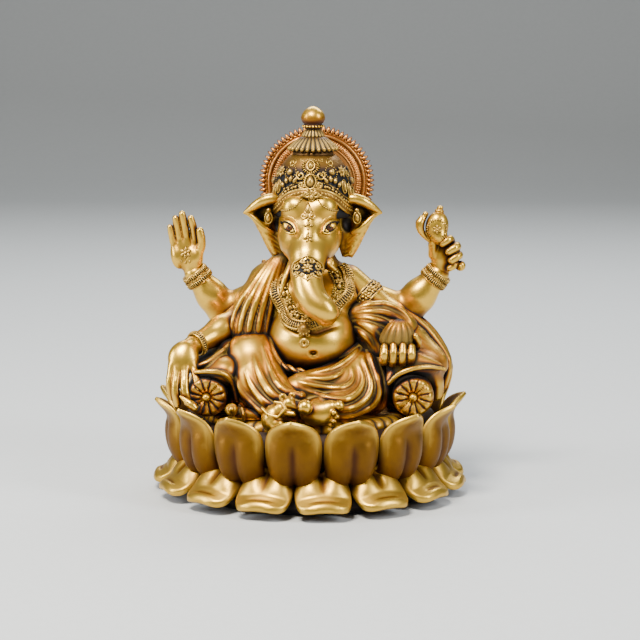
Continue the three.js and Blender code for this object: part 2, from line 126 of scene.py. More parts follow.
def union(shapes, blend=0.0):
    shapes = list(shapes)

    def field(points):
        best = np.full(len(points), 1e3)
        for shape in shapes:
            inside = ((points > shape.low - CULL) & (points < shape.high + CULL)).all(1)
            if inside.any():
                best[inside] = smooth_min(best[inside], shape(points[inside]), blend)
        return best

    low = np.min([shape.low for shape in shapes], axis=0)
    high = np.max([shape.high for shape in shapes], axis=0)
    return Shape(field, low, high)


def cut(shape, tool, blend=0.0):
    """A shape without what is inside the tool."""
    return Shape(lambda p: -smooth_min(-shape(p), tool(p), blend), shape.low, shape.high)


def common(shape, other, blend=0.0):
    return Shape(lambda p: -smooth_min(-shape(p), -other(p), blend), shape.low, shape.high)


# ---- Lines ---------------------------------------------------------------------------------------
def circle(count):
    """Angles evenly spaced round a full turn."""
    return np.linspace(0, 2 * math.pi, count, endpoint=False)


def unit_rows(rows, least=1e-9):
    """Each row scaled to a length of 1."""
    return rows / np.maximum(np.linalg.norm(rows, axis=1, keepdims=True), least)


def lengths_along(line):
    """The running length of a line at each of its points."""
    steps = np.linalg.norm(np.diff(line, axis=0), axis=1)
    return np.concatenate([[0], np.cumsum(steps)])


def at_lengths(values, length, wanted):
    """Rows of values read off where the running length is as wanted."""
    return np.stack([np.interp(wanted, length, column) for column in values.T], -1)


def line_ways(line, closed=False):
    """The direction of a line at each of its points, at no set length."""
    if closed:
        return np.roll(line, -1, axis=0) - np.roll(line, 1, axis=0)
    return np.gradient(line, axis=0)


def ways_round(count, across, rise, start=0.0):
    """Directions round a circle, from across towards rise. start is in steps."""
    angles = 2 * math.pi * (np.arange(count) + start) / count
    return np.outer(np.cos(angles), across) + np.outer(np.sin(angles), rise)


def smooth_line(points, count):
    """A smooth line through control points of any width, evenly numbered along its length."""
    points = np.array(points, float)
    padded = np.vstack([2 * points[0] - points[1], points, 2 * points[-1] - points[-2]])
    fine = []
    for i in range(len(points) - 1):
        a, b, c, d = padded[i : i + 4]
        for t in np.linspace(0, 1, 12, endpoint=False):
            fine.append(
                0.5 * (2 * b + (c - a) * t + (2 * a - 5 * b + 4 * c - d) * t**2
                       + (3 * b - 3 * c + d - a) * t**3)
            )
    fine = np.array(fine + [points[-1]])
    length = lengths_along(fine)
    return at_lengths(fine, length, np.linspace(0, length[-1], count))


def strand(rows, count):
    """A limb along a smooth line through [x, y, z, radius] rows."""
    return limb(smooth_line(rows, count))


def line_length(points):
    return lengths_along(np.array(points)[:, :3])[-1]


DEPTH_STEP = 0.35  # mm between the depths that are tried, before the crossing is interpolated


def in_front(shape, spots, sink=0.0):
    """[x, z] spots carried back from the front until they meet a shape: [x, y, z] points."""
    spots = np.array(spots, float)
    depths = np.arange(shape.low[1] - 2, shape.high[1] + 2, DEPTH_STEP)
    points = np.empty((len(spots), len(depths), 3))
    points[:, :, 0] = spots[:, :1]
    points[:, :, 1] = depths
    points[:, :, 2] = spots[:, 1:2]
    distance = shape(points.reshape(-1, 3)).reshape(len(spots), -1)
    inside = distance < 0
    met = np.where(inside.any(1), inside.argmax(1), distance.argmin(1))
    rows = np.arange(len(spots))
    gap = distance[rows, np.maximum(met - 1, 0)] - distance[rows, met]
    crossed = inside.any(1) & (gap > 1e-6)
    past = np.where(crossed, -distance[rows, met] / np.where(crossed, gap, 1), 0)
    y = depths[met] - past * DEPTH_STEP + sink
    return np.column_stack([spots[:, 0], y, spots[:, 1]])


def fold(surface, spots, radius, sink=0.0, ends=0.1, count=24):
    """A rounded fold that lies on a surface along [x, z] spots and thins towards both ends."""
    line = smooth_line(in_front(surface, smooth_line(spots, count)), count)
    along = np.linspace(0, 1, count)
    taper = ends + (1 - ends) * np.sin(np.pi * along) ** 0.7
    line[:, 1] += sink + 0.6 * radius * (1 - taper)
    return limb(np.column_stack([line, radius * taper]))


# ---- Meshes from distance fields -----------------------------------------------------------------
BLOCK = 8


def fill_grid(shape, low, counts, voxel):
    """Distances on a grid, worked out in full only in the blocks that the surface can reach."""
    blocks = counts // BLOCK
    size = BLOCK * voxel
    index = np.indices(blocks).reshape(3, -1).T
    centres = low + (index + 0.5) * size - voxel / 2
    coarse = shape(centres)
    grid = np.empty((*blocks, BLOCK, BLOCK, BLOCK), np.float32)
    grid[:] = np.where(coarse < 0, -1e3, 1e3).reshape(*blocks, 1, 1, 1)
    reach = size * 0.87 + 1.2
    near = index[np.abs(coarse) < reach]
    inner = np.indices((BLOCK,) * 3).reshape(3, -1).T
    for start in range(0, len(near), 256):
        chunk = near[start : start + 256]
        points = low + (chunk[:, None, :] * BLOCK + inner[None]) * voxel
        values = shape(points.reshape(-1, 3)).reshape(-1, BLOCK, BLOCK, BLOCK)
        grid[tuple(chunk.T)] = values
    return grid.transpose(0, 3, 1, 4, 2, 5).reshape(*(blocks * BLOCK))


def surface_net(grid, low, voxel):
    """Points and quads of the surface where a grid of distances changes sign."""
    inside = grid < 0
    cells = tuple(n - 1 for n in grid.shape)
    corners = np.indices((2, 2, 2)).reshape(3, -1).T
    filled = sum(
        inside[tuple(slice(first, first + size) for first, size in zip(c, cells))].astype(np.int8)
        for c in corners
    )
    where = np.argwhere((filled > 0) & (filled < 8))
    number = np.full(cells, -1, np.int64)
    number[tuple(where.T)] = np.arange(len(where))
    total, crossings = np.zeros((len(where), 3)), np.zeros(len(where))
    steps = np.eye(3, dtype=int)
    for axis, step in enumerate(steps):
        for c in corners[corners[:, axis] == 0]:
            a = grid[tuple((where + c).T)]
            b = grid[tuple((where + c + step).T)]
            crossed = (a < 0) != (b < 0)
            share = a[crossed] / (a[crossed] - b[crossed])
            total[crossed] += c + share[:, None] * step
            crossings[crossed] += 1
    points = low + (where + total / crossings[:, None]) * voxel
    quads = []
    for axis in range(3):
        u, v = (axis + 1) % 3, (axis + 2) % 3
        start = inside[tuple(slice(0, -1) if k == axis else slice(1, -1) for k in range(3))]
        end = inside[tuple(slice(1, None) if k == axis else slice(1, -1) for k in range(3))]
        for crossing, order in ((start & ~end, 1), (~start & end, -1)):
            spots = np.argwhere(crossing)
            spots[:, u] += 1
            spots[:, v] += 1
            around = [0 * steps[u], -steps[u], -steps[u] - steps[v], -steps[v]]
            ring = np.stack([number[tuple((spots + shift).T)] for shift in around], 1)
            quads.append(ring[:, ::order])
    return points, np.vstack(quads)


def slope(shape, points, step=0.12):
    """The outward direction of a shape's surface near each point."""
    parts = []
    for k in range(3):
        shift = np.zeros(3)
        shift[k] = step
        parts.append(shape(points + shift) - shape(points - shift))
    return unit_rows(np.stack(parts, 1), 1e-6)


WORLD = []  # every sculpted solid, for the depth of the hollows between pieces, where shade is painted
SCULPTED = []  # meshes that still need their wash, painted shade and edge brightening, as (object, shape)


def mesh_object(name, points, faces):
    """A smooth-shaded object from points in millimetres and a list or array of faces."""
    mesh = bpy.data.meshes.new(name)
    mesh.from_pydata((np.asarray(points) * MM).tolist(), [], [list(map(int, f)) for f in faces])
    mesh.validate()
    mesh.polygons.foreach_set("use_smooth", np.ones(len(mesh.polygons), bool))
    made = bpy.data.objects.new(name, mesh)
    bpy.context.scene.collection.objects.link(made)
    return made


def drop_scraps(points, quads):
    """Keeps the largest connected body of a mesh."""
    label = np.arange(len(points))
    edges = np.vstack([quads[:, [0, 1]], quads[:, [1, 2]], quads[:, [2, 3]], quads[:, [3, 0]]])
    while True:
        least = np.minimum(label[edges[:, 0]], label[edges[:, 1]])
        new = label.copy()
        np.minimum.at(new, edges[:, 0], least)
        np.minimum.at(new, edges[:, 1], least)
        new = new[new]
        if (new == label).all():
            break
        label = new
    roots, sizes = np.unique(label, return_counts=True)
    keep = label == roots[sizes.argmax()]
    order = np.cumsum(keep) - 1
    return points[keep], order[quads[keep[quads].all(1)]]


def sculpt(name, shape, voxel):
    """A mesh of a shape, with every point moved onto the exact surface."""
    low = shape.low - 2 * voxel
    counts = np.ceil((shape.high + 2 * voxel - low) / voxel / BLOCK).astype(int) * BLOCK
    grid = fill_grid(shape, low, counts, voxel)
    points, quads = surface_net(grid, low, voxel)
    points, quads = drop_scraps(points, quads)
    outward = slope(shape, points)
    move = np.clip(shape(points), -voxel / 2, voxel / 2)
    points = points - outward * move[:, None]
    made = mesh_object(f"{name}_form", points, quads)
    WORLD.append(shape)
    SCULPTED.append((made, shape))
    return made


# ---- Wash and painted shade by how deep in a hollow each point is; wear and painted highlight by how far out on an edge ---
def set_attribute(made, name, values):
    mesh = made.data
    layer = mesh.attributes.new(name, "FLOAT", "POINT")
    layer.data.foreach_set("value", np.ascontiguousarray(np.clip(values, 0, 1), np.float32))


# How far out the free space is measured, in mm, and that distance's share of the wash and painted shade.
# The widest reaches paint the shade under the belly and the arms, and where pieces meet.
HOLLOW_REACHES = ((0.45, 0.26), (1.1, 0.34), (2.4, 0.28), (5.0, 0.26))
EDGE_REACH = 0.7


def hollow_depth(points, outward, shape):
    depth = np.zeros(len(points))
    for reach, share in HOLLOW_REACHES:
        free = shape(points + outward * reach)
        depth += share * np.clip(1 - free / reach, 0, 1)
    return depth


SHADED_HOLLOWS = []  # balls inside which the hollows are painted darkest: painted shade in the ear hollows


def wash_sculptures():
    world = union(WORLD)
    for made, shape in SCULPTED:
        points = np.empty(len(made.data.vertices) * 3, np.float32)
        made.data.vertices.foreach_get("co", points)
        points = points.reshape(-1, 3).astype(float) / MM
        outward = slope(shape, points)
        # Painted shade: points deep in hollows and where pieces meet are darkened, together with the
        # antique wash.
        wash = hollow_depth(points, outward, world)
        # Painted shade: darkest inside the ear hollows.
        for shaded_hollow in SHADED_HOLLOWS:
            wash = np.maximum(wash, 0.95 * np.clip(-shaded_hollow(points), 0, 1))
        set_attribute(made, "wash", wash)
        # Points on edges that stand out are brightened: wear, and painted highlight.
        inward = shape(points - outward * EDGE_REACH)
        set_attribute(made, "edge", 1 + inward / EDGE_REACH)


# ---- Materials -----------------------------------------------------------------------------------
def new_material(name):
    material = bpy.data.materials.new(name)
    material.use_nodes = True
    tree = material.node_tree
    shader = tree.nodes["Principled BSDF"]
    return material, tree, shader


def add_node(tree, kind, inputs=None, **settings):
    node = tree.nodes.new(kind)
    for key, value in settings.items():
        setattr(node, key, value)
    for key, value in (inputs or {}).items():
        if isinstance(value, bpy.types.NodeSocket):
            tree.links.new(value, node.inputs[key])
        else:
            node.inputs[key].default_value = value
    return node


def maths(tree, operation, a, b, clamp=False):
    return add_node(
        tree, "ShaderNodeMath", {0: a, 1: b}, operation=operation, use_clamp=clamp
    ).outputs[0]


def ramp(tree, value, stops):
    node = add_node(tree, "ShaderNodeValToRGB", {"Fac": value})
    elements = node.color_ramp.elements
    while len(elements) < len(stops):
        elements.new(0.5)
    for element, (position, colour) in zip(elements, stops):
        element.position = position
        element.color = (*colour, 1)
    return node.outputs["Color"]


PATCHES = 260.0  # how fine the uneven patches of the wash are
SPECKLE = 1900.0  # how fine the grain of the casting is


def antique(name, bright, middle, deep, dark, roughness, strength=1.0, edge_colour=None):
    """Metallic paint over cast resin, with a dark wash in the hollows that also paints the shade falling
    there, and edges brightened for wear and as painted highlights.
    """
    material, tree, shader = new_material(name)
    place = add_node(tree, "ShaderNodeTexCoord").outputs["Object"]
    patches = add_node(tree, "ShaderNodeTexNoise", {"Vector": place, "Scale": PATCHES, "Detail": 4.0})
    speckle = add_node(tree, "ShaderNodeTexNoise", {"Vector": place, "Scale": SPECKLE, "Detail": 2.0})
    wash = add_node(tree, "ShaderNodeAttribute", attribute_name="wash").outputs["Fac"]
    edge = add_node(tree, "ShaderNodeAttribute", attribute_name="edge").outputs["Fac"]
    uneven = maths(tree, "MULTIPLY_ADD", patches.outputs["Fac"], 0.22)
    uneven.node.inputs[2].default_value = -0.11
    depth = maths(tree, "MULTIPLY", wash, strength)
    # The level of wash and painted shade, broken up by uneven patches; the colour darkens from bright to
    # dark gold with it.
    wash_and_shade_level = maths(tree, "ADD", depth, maths(tree, "MULTIPLY", uneven, 0.8), clamp=True)
    colour = ramp(tree, wash_and_shade_level, [(0.0, bright), (0.28, middle), (0.56, deep), (0.85, dark)])
    # Edges are mixed towards a brighter gold: wear, and painted highlight.
    wear_and_highlight = maths(tree, "MULTIPLY", edge, 0.75, clamp=True)
    mix = add_node(tree, "ShaderNodeMix", {0: wear_and_highlight}, data_type="RGBA")
    tree.links.new(colour, mix.inputs[6])
    mix.inputs[7].default_value = (*(edge_colour or bright), 1)
    tree.links.new(mix.outputs[2], shader.inputs["Base Color"])
    grain = maths(tree, "MULTIPLY", speckle.outputs["Fac"], 0.12)
    rough = maths(tree, "MULTIPLY_ADD", wash_and_shade_level, 0.30)
    rough.node.inputs[2].default_value = roughness - 0.06
    tree.links.new(maths(tree, "ADD", rough, grain), shader.inputs["Roughness"])
    metal = maths(tree, "MULTIPLY_ADD", wash_and_shade_level, -0.55)
    metal.node.inputs[2].default_value = 0.95
    shader.inputs["Specular IOR Level"].default_value = 0.3
    tree.links.new(metal, shader.inputs["Metallic"])
    bump = add_node(
        tree,
        "ShaderNodeBump",
        {"Height": speckle.outputs["Fac"], "Strength": 0.10, "Distance": 0.0002},
    )
    tree.links.new(bump.outputs["Normal"], shader.inputs["Normal"])
    return material


GOLD_BRIGHT = (0.74, 0.44, 0.048)
GOLD_MIDDLE = (0.32, 0.135, 0.009)
GOLD_DEEP = (0.10, 0.028, 0.004)
GOLD_DARK = (0.008, 0.005, 0.004)
ORNAMENT_EDGE = (0.66, 0.40, 0.075)
# bright, middle, deep and dark colours, roughness, strength of the wash and painted shade, colour of the
# brightened edges, which paint wear and highlights
PAINTS = {
    "gold_skin": (
        GOLD_BRIGHT,
        GOLD_MIDDLE,
        GOLD_DEEP,
        GOLD_DARK,
        0.30,
    ),
    # The petal gold is a darker copy of the skin gold: painted shade.
    "gold_petal": (
        (0.60, 0.36, 0.045),
        (0.17, 0.075, 0.005),
        (0.06, 0.018, 0.002),
        GOLD_DARK,
        0.36,
    ),
    "gold_cloth": (
        (0.60, 0.345, 0.040),
        (0.34, 0.125, 0.006),
        (0.10, 0.024, 0.003),
        GOLD_DARK,
        0.34,
        2.2,
    ),
    "gold_ornament": (
        (0.42, 0.25, 0.042),
        (0.17, 0.08, 0.013),
        (0.03, 0.015, 0.008),
        (0.006, 0.006, 0.007),
        0.34,
        1.3,
        ORNAMENT_EDGE,
    ),
    "halo_copper": (
        (0.46, 0.20, 0.05),
        (0.26, 0.085, 0.018),
        (0.07, 0.018, 0.007),
        GOLD_DARK,
        0.36,
    ),
}
MATERIALS = {name: antique(name, *paint) for name, paint in PAINTS.items()}


def pad_material():
    material, tree, shader = new_material("base_pad")
    place = add_node(tree, "ShaderNodeTexCoord").outputs["Object"]
    cells = add_node(tree, "ShaderNodeTexVoronoi", {"Vector": place, "Scale": 900.0})
    shade = ramp(tree, cells.outputs["Distance"], [(0, (0.012, 0.012, 0.013)), (1, (0.05, 0.05, 0.055))])
    tree.links.new(shade, shader.inputs["Base Color"])
    shader.inputs["Roughness"].default_value = 0.9
    bump = add_node(
        tree, "ShaderNodeBump", {"Height": cells.outputs["Distance"], "Strength": 0.4, "Distance": 0.0003}
    )
    tree.links.new(bump.outputs["Normal"], shader.inputs["Normal"])
    return material


MATERIALS["base_pad"] = pad_material()


def finish_piece(made, slot, *nodes):
    made.data.materials.clear()
    made.data.materials.append(MATERIALS[slot])
    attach(made, "root")
    if nodes:
        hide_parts(*nodes)
    return made


def sculpt_pieces(slot, pieces):
    """Sculpts (name, shape, voxel) rows. A fourth item holds the nodes, where they aren't the name."""
    for name, shape, voxel, *rest in pieces:
        nodes = rest[0] if rest else [name]
        finish_piece(sculpt(name, shape, voxel), slot, *nodes)


# ---- Heaps of small ornaments --------------------------------------------------------------------
class Heap:
    """Points and faces of many small solids that make up one piece, with their wash and painted shade and
    their edge brightening.
    """

    def __init__(self):
        self.points, self.faces, self.wash, self.edge, self.count = [], [], [], [], 0

    def add(self, points, faces, wash=0.0, edge=0.0):
        points = np.asarray(points, float)
        self.points.append(points)
        self.faces += [[i + self.count for i in face] for face in faces]
        self.wash.append(np.broadcast_to(wash, len(points)).astype(float))
        self.edge.append(np.broadcast_to(edge, len(points)).astype(float))
        self.count += len(points)

    def build(self, name, slot, *nodes):
        made = mesh_object(name, np.vstack(self.points), self.faces)
        set_attribute(made, "wash", np.concatenate(self.wash))
        set_attribute(made, "edge", np.concatenate(self.edge))
        return finish_piece(made, slot, *nodes)


def loft_faces(rings, sides, closed=False):
    """Quads between rings of points, and a face over each end where the loft isn't closed."""
    faces = []
    for i in range(rings if closed else rings - 1):
        for j in range(sides):
            a, b = i * sides, ((i + 1) % rings) * sides
            k = (j + 1) % sides
            faces.append([a + j, a + k, b + k, b + j])
    if not closed:
        faces.append(list(range(sides))[::-1])
        faces.append([(rings - 1) * sides + j for j in range(sides)])
    return faces


def frame_at(outward, up=(0, 0, 1)):
    """Three directions at right angles: across, up along the surface, and outward."""
    outward = np.asarray(outward, float)
    outward = outward / np.linalg.norm(outward)
    across = np.cross(up, outward)
    if np.linalg.norm(across) < 1e-3:
        across = np.cross((0, 1, 0), outward)
    across = across / np.linalg.norm(across)
    return np.stack([across, np.cross(outward, across), outward])


def revolved(profile, sides):
    """Points and faces of a solid turned about local Z, from [radius, height] pairs."""
    points = [[r * math.cos(a), r * math.sin(a), h] for r, h in profile for a in circle(sides)]
    return np.array(points), loft_faces(len(profile), sides)


def stud_profile(radius, height):
    """Half an ellipse, from its foot below the surface to its crown."""
    angles = np.radians([-35, 0, 25, 50, 72, 88])
    return [[max(radius * math.cos(a), 0.02), height * math.sin(a)] for a in angles]


def add_stud(
    heap, place, outward, radius, height=None, stretch=1.0, point=0.0, up=(0, 0, 1), sides=10, wash=None
):
    """A rounded stud on a surface. stretch lengthens it upwards and point draws out its top end."""
    height = height or radius
    points, faces = revolved(stud_profile(radius, height), sides)
    lift = np.clip(points[:, 2] / height, 0, 1)
    high = np.maximum(points[:, 1], 0) / radius
    points[:, 1] = points[:, 1] * stretch + point * radius * high**2
    points[:, 0] *= 1 - 0.35 * (point > 0) * high
    # Darker towards the foot, where the stud meets the surface: painted shade. Brighter towards the top:
    # wear and painted highlight.
    shade = 0.9 * (1 - lift) ** 1.5 if wash is None else wash
    wear_and_highlight = 0.4 * lift if wash is None else 0
    heap.add(np.asarray(place) + points @ frame_at(outward, up), faces, shade, wear_and_highlight)


def add_tube(heap, line, radius, sides=8, closed=False, squash=1.0, outward=None, wash=0.0, edge=0.3):
    """A rounded bead line, rim or scroll through [x, y, z] points."""
    line = np.asarray(line, float)
    count = len(line)
    radii = np.broadcast_to(radius, count)
    along = unit_rows(line_ways(line, closed))
    guide = np.asarray(outward if outward is not None else (0, -1, 0.2), float)
    guide = np.broadcast_to(guide, line.shape)
    side = unit_rows(np.cross(along, guide))
    out = np.cross(side, along)
    angles = circle(sides)
    points, washes = [], []
    for i in range(count):
        for a in angles:
            points.append(
                line[i] + radii[i] * (math.cos(a) * side[i] + squash * math.sin(a) * out[i])
            )
            # The side facing the surface underneath is darkened: painted shade.
            washes.append(max(wash, 0.85 * max(0.0, 0.25 - math.sin(a)) / 1.25))
    heap.add(points, loft_faces(count, sides, closed), np.array(washes), edge)


def along_line(line, spacing):
    """Evenly spaced points on a line."""
    length = line_length(line)
    return smooth_line(line, max(2, int(round(length / spacing)) + 1))


# ---- Lotus base ----------------------------------------------------------------------------------
PETALS = 15
UPPER_TURN = -6.5
LOWER_TURN = -18.5
PETAL_ROWS = 30
PETAL_SIDES = 44
PETAL_CROWDING = 1.35  # above 1, the rows of points lie closer together towards the tip
NOSE_START = 0.88  # the share of a lower petal's length where its tip starts to round off
LOBE_FADE = 0.28  # the share of the length over which the lobes die away
RIM_WIDTH = 1.1  # mm
DENT_LENGTH = 0.07  # the dent and the groove are in shares of the petal's length or half width
DENT_WIDTH = 0.42
GROOVE_WIDTH = 0.1
TIER_SPLIT = corner_mm("lotus_lower_tier", 1)[2]
PETAL_REACH = corner_mm("lotus_lower_tier", 1)[1] + 1.4


def petal_mesh(middle_line, half_widths, thickness, lobes, dent, bulge, facing, face_shades):
    """One petal, pointing outwards along local X: points, faces, wash and edge wear of each point.

    middle_line holds [radius, height] points from root to tip and half_widths [share, width] pairs.
    thickness is given at root and tip, lobes as their height and the share where they end, and dent
    as its depth and its share. bulge is how far the middle stands out from the sides, and facing is
    1 when the shown face is on the outside of the line. face_shades are the painted shade over the
    whole face at its root and at its tip, darker at the root.
    """
    line = smooth_line(middle_line, PETAL_ROWS)
    tangent = unit_rows(line_ways(line))
    normal = np.stack([tangent[:, 1], -tangent[:, 0]], 1) * facing
    even = np.linspace(0, 1, PETAL_ROWS)
    shares = 1 - (1 - even) ** PETAL_CROWDING
    line = at_lengths(line, even, shares)
    normal = at_lengths(normal, even, shares)
    knots = smooth_line(half_widths, 80)
    widths = np.interp(shares, knots[:, 0], knots[:, 1])
    reach = line_length(middle_line)
    points, washes, edges = [], [], []
    lobe_height, lobe_end = lobes
    dent_depth, dent_share = dent
    for i, share in enumerate(shares):
        thick = thickness[0] + (thickness[1] - thickness[0]) * share
        thick *= min(1.0, 0.35 + 1.6 * widths[i] / widths.max())
        nose = np.clip((share - NOSE_START) / (1 - NOSE_START), 0, 1)
        thick *= math.sqrt(max(1 - nose**2, 0.04)) if facing < 0 else 1.0
        lobed = 1 - np.clip((share - lobe_end + LOBE_FADE) / LOBE_FADE, 0, 1) ** 1.5
        broad = min(1.0, widths[i] / widths.max() * 1.15)
        for angle in circle(PETAL_SIDES):
            u = math.copysign(abs(math.cos(angle)) ** 0.85, math.cos(angle))
            side = math.sin(angle)
            front = side > 0
            margin = min((1 - abs(u)) * widths[i], (1 - share) * reach)
            rim = math.exp(-((margin / RIM_WIDTH) ** 2)) * np.clip((share - 0.35) / 0.3, 0, 1)
            crown = bulge * (1 - u * u) * broad
            lobe = lobe_height * lobed * (math.sin(math.pi * min(abs(u), 1)) ** 0.75) * front
            rounded = math.copysign(abs(side) ** 0.7, side)
            off_dent = ((share - dent_share) / DENT_LENGTH) ** 2 + (u / DENT_WIDTH) ** 4
            dented = dent_depth * front * math.exp(-off_dent)
            height = crown + lobe + rounded * thick / 2 + 0.35 * rim * front - dented
            points.append(
                [line[i, 0] + normal[i, 0] * height, widths[i] * u, line[i, 1] + normal[i, 1] * height]
            )
            # Painted shade: the groove, the root, the lower flanks next to the neighbouring petals and
            # the dent are darkened, and the face is darker towards its root; the rim is left bright as a
            # painted highlight.
            groove = math.exp(-((u / GROOVE_WIDTH) ** 2)) * lobed * 0.6
            root = np.clip((0.22 - share) / 0.22, 0, 1) * 0.95
            flank = np.clip((abs(u) - 0.8) / 0.2, 0, 1) * np.clip((0.8 - share) / 0.3, 0, 1) * 0.6
            face_shade = (face_shades[0] + (face_shades[1] - face_shades[0]) * share) * (1 - 0.4 * u * u) if front else 0.3
            washes.append(max(groove, root, flank, face_shade * (1 - rim), dented * 0.9))
            # The rim and the thin sides towards the tip are brightened: wear, and painted highlight.
            worn_and_lit_side = np.clip((share - 0.3) / 0.3, 0, 1) * np.clip(1 - abs(side) * 2.2, 0, 1)
            edges.append(0.8 * max(rim, worn_and_lit_side))
    return np.array(points), loft_faces(PETAL_ROWS, PETAL_SIDES), np.array(washes), np.array(edges)


def ring_of(heap, part, turn):
    """Copies of a part round the vertical axis. The part points along X and the first goes to turn."""
    points, faces, washes, edges = part
    for i in range(PETALS):
        angle = math.radians(turn + 360 / PETALS * i - 90)
        c, s = math.cos(angle), math.sin(angle)
        turned = points.copy()
        turned[:, 0] = points[:, 0] * c - points[:, 1] * s
        turned[:, 1] = points[:, 0] * s + points[:, 1] * c
        heap.add(turned, faces, washes, edges)


def add_turned(heap, profile, wash, sides=96):
    points, faces = revolved(profile, sides)
    heap.add(points, faces, wash)


def make_lotus():
    upper = petal_mesh(
        [[35.5, 12.2], [39.6, 13.0], [41.6, 16.6], [42.2, 21], [43.0, 25], [45.4, 28.4], [50.0, 31.2]],
        [
            [0, 4.4], [0.1, 7.0], [0.3, 8.3], [0.46, 8.8], [0.6, 8.6], [0.72, 7.6], [0.82, 5.9],
            [0.9, 3.9], [0.96, 1.9], [1, 0.1],
        ],
        (3.0, 1.8),
        (2.0, 0.72),
        (0.0, 0.5),
        1.9,
        1,
        (0.50, 0.24),
    )
    heap = Heap()
    ring_of(heap, upper, UPPER_TURN)
    core = [[0.1, TIER_SPLIT], [34, TIER_SPLIT], [37.6, 15], [40.2, 20], [39.8, 24.5], [0.1, 25]]
    # The core between the petals is darkened: painted shade in the gaps.
    add_turned(heap, core, 0.8)
    heap.build("lotus_upper", "gold_petal", "lotus_upper_tier")
    lower = petal_mesh(
        [[33.5, 9.4], [38.0, 9.0], [42.0, 6.9], [45.0, 4.9], [47.8, 3.6], [PETAL_REACH + 0.4, 3.8]],
        [
            [0, 6.0], [0.2, 7.9], [0.45, 8.6], [0.64, 8.6], [0.78, 8.2], [0.87, 7.4], [0.93, 6.3],
            [0.97, 5.0], [1, 2.6],
        ],
        (4.0, 3.6),
        (2.0, 0.66),
        (0.5, 0.82),
        1.2,
        -1,
        (0.16, 0.05),
    )
    heap = Heap()
    ring_of(heap, lower, LOWER_TURN)
    core = [[0.1, 1.3], [41.5, 1.3], [42.2, 3], [39, 7], [35, TIER_SPLIT], [0.1, TIER_SPLIT]]
    # The core between the petals is darkened: painted shade in the gaps.
    add_turned(heap, core, 0.85)
    heap.build("lotus_lower", "gold_petal", "lotus_lower_tier")


make_lotus()


# ---- The figure's flesh --------------------------------------------------------------------------
SHOULDER_RIGHT = [-12.6, 4, 65.2, 5.8]
SHOULDER_LEFT = [12.0, 4, 66.2, 5.8]
REAR_RIGHT = {"elbow": [-27.8, 8, 56.2, 5.0], "wrist": [-37, 6.2, 68.6, 3.5]}
REAR_LEFT = {"elbow": [30.8, 8, 56.0, 5.3], "wrist": [41.2, 6.2, 68.6, 3.6]}
REAR_SHOULDER_RIGHT = [-13.5, 6, 62.5, 5.6]
REAR_SHOULDER_LEFT = [13.5, 6, 62.5, 5.6]
FRONT_RIGHT = {"elbow": [-22, 0, 54.6, 4.6], "wrist": [-36.4, -13.2, 48.6, 3.0]}
FRONT_LEFT = {"elbow": [25.6, 0, 55.4, 5], "wrist": [27, -12.6, 50, 3.4]}


def bent_arm(shoulder, arm):
    """A plump arm: the forearm swells just below the elbow and narrows to the wrist."""
    elbow, wrist = np.array(arm["elbow"], float), np.array(arm["wrist"], float)
    swell = elbow + (wrist - elbow) * 0.42
    swell[3] = elbow[3] * 0.97
    return limb([shoulder, elbow, swell, wrist], 2.2)


def torso_shape():
    """Belly, chest and hips, with creases under and above the belly, and a navel."""
    belly = ball([0.6, -2.5, 49.2], [15.6, 17.4, 13.4])
    chest = union(
        [
            ball([0, 3, 62], [15, 10.5, 11]),
            ball([-6.6, -4.4, 62.4], [7.4, 5.6, 5.6]),
            ball([7.6, -4.4, 62.4], [7.4, 5.6, 5.6]),
            limb([SHOULDER_RIGHT, [0, 4, 67.4, 7.2], SHOULDER_LEFT]),
            ball([0, 3.5, 74], [8, 8, 6]),
        ],
        3.0,
    )
    hips = ball([0, 4, 38], [17, 13.5, 11.5])
    body = union([belly, chest, hips], 3.2)
    crease = limb([[-15, -12, 47.6, 0.5], [-8, -19.2, 44.2, 0.6], [1, -21, 43.2, 0.6],
                   [9, -19.2, 44.4, 0.6], [16, -12, 47.8, 0.5]])
    body = cut(body, crease, 1.4)
    roll = limb(
        [[-11, -13.5, 56.5, 0.3], [-4, -17.6, 53.8, 0.5], [2, -18.4, 53.2, 0.5], [11, -14.5, 56, 0.3]],
    )
    body = cut(body, roll, 1.6)
    navel = in_front(body, [[1.1, 47.0]])[0]
    return cut(body, ball(navel, [1.1, 1.6, 0.8]), 0.7)


FACE_MIDDLE = -0.1
EYE_PLACE = [6.4, 85.6]
EYE_TILT = 30  # degrees that the inner corner sits below the outer


def on_both(shape_of):
    """The same shape made for both sides of the face; shape_of takes -1 or 1."""
    return [shape_of(side) for side in (-1, 1)]


def face_at(side, x, *rest):
    """A row whose x is measured outwards from the middle of the face, carried to one side."""
    return [FACE_MIDDLE + side * x, *rest]


def both_balls(centre, radii):
    return on_both(lambda side: ball(face_at(side, *centre), radii))


def both_limbs(*rows):
    return on_both(lambda side: limb([face_at(side, *row) for row in rows]))


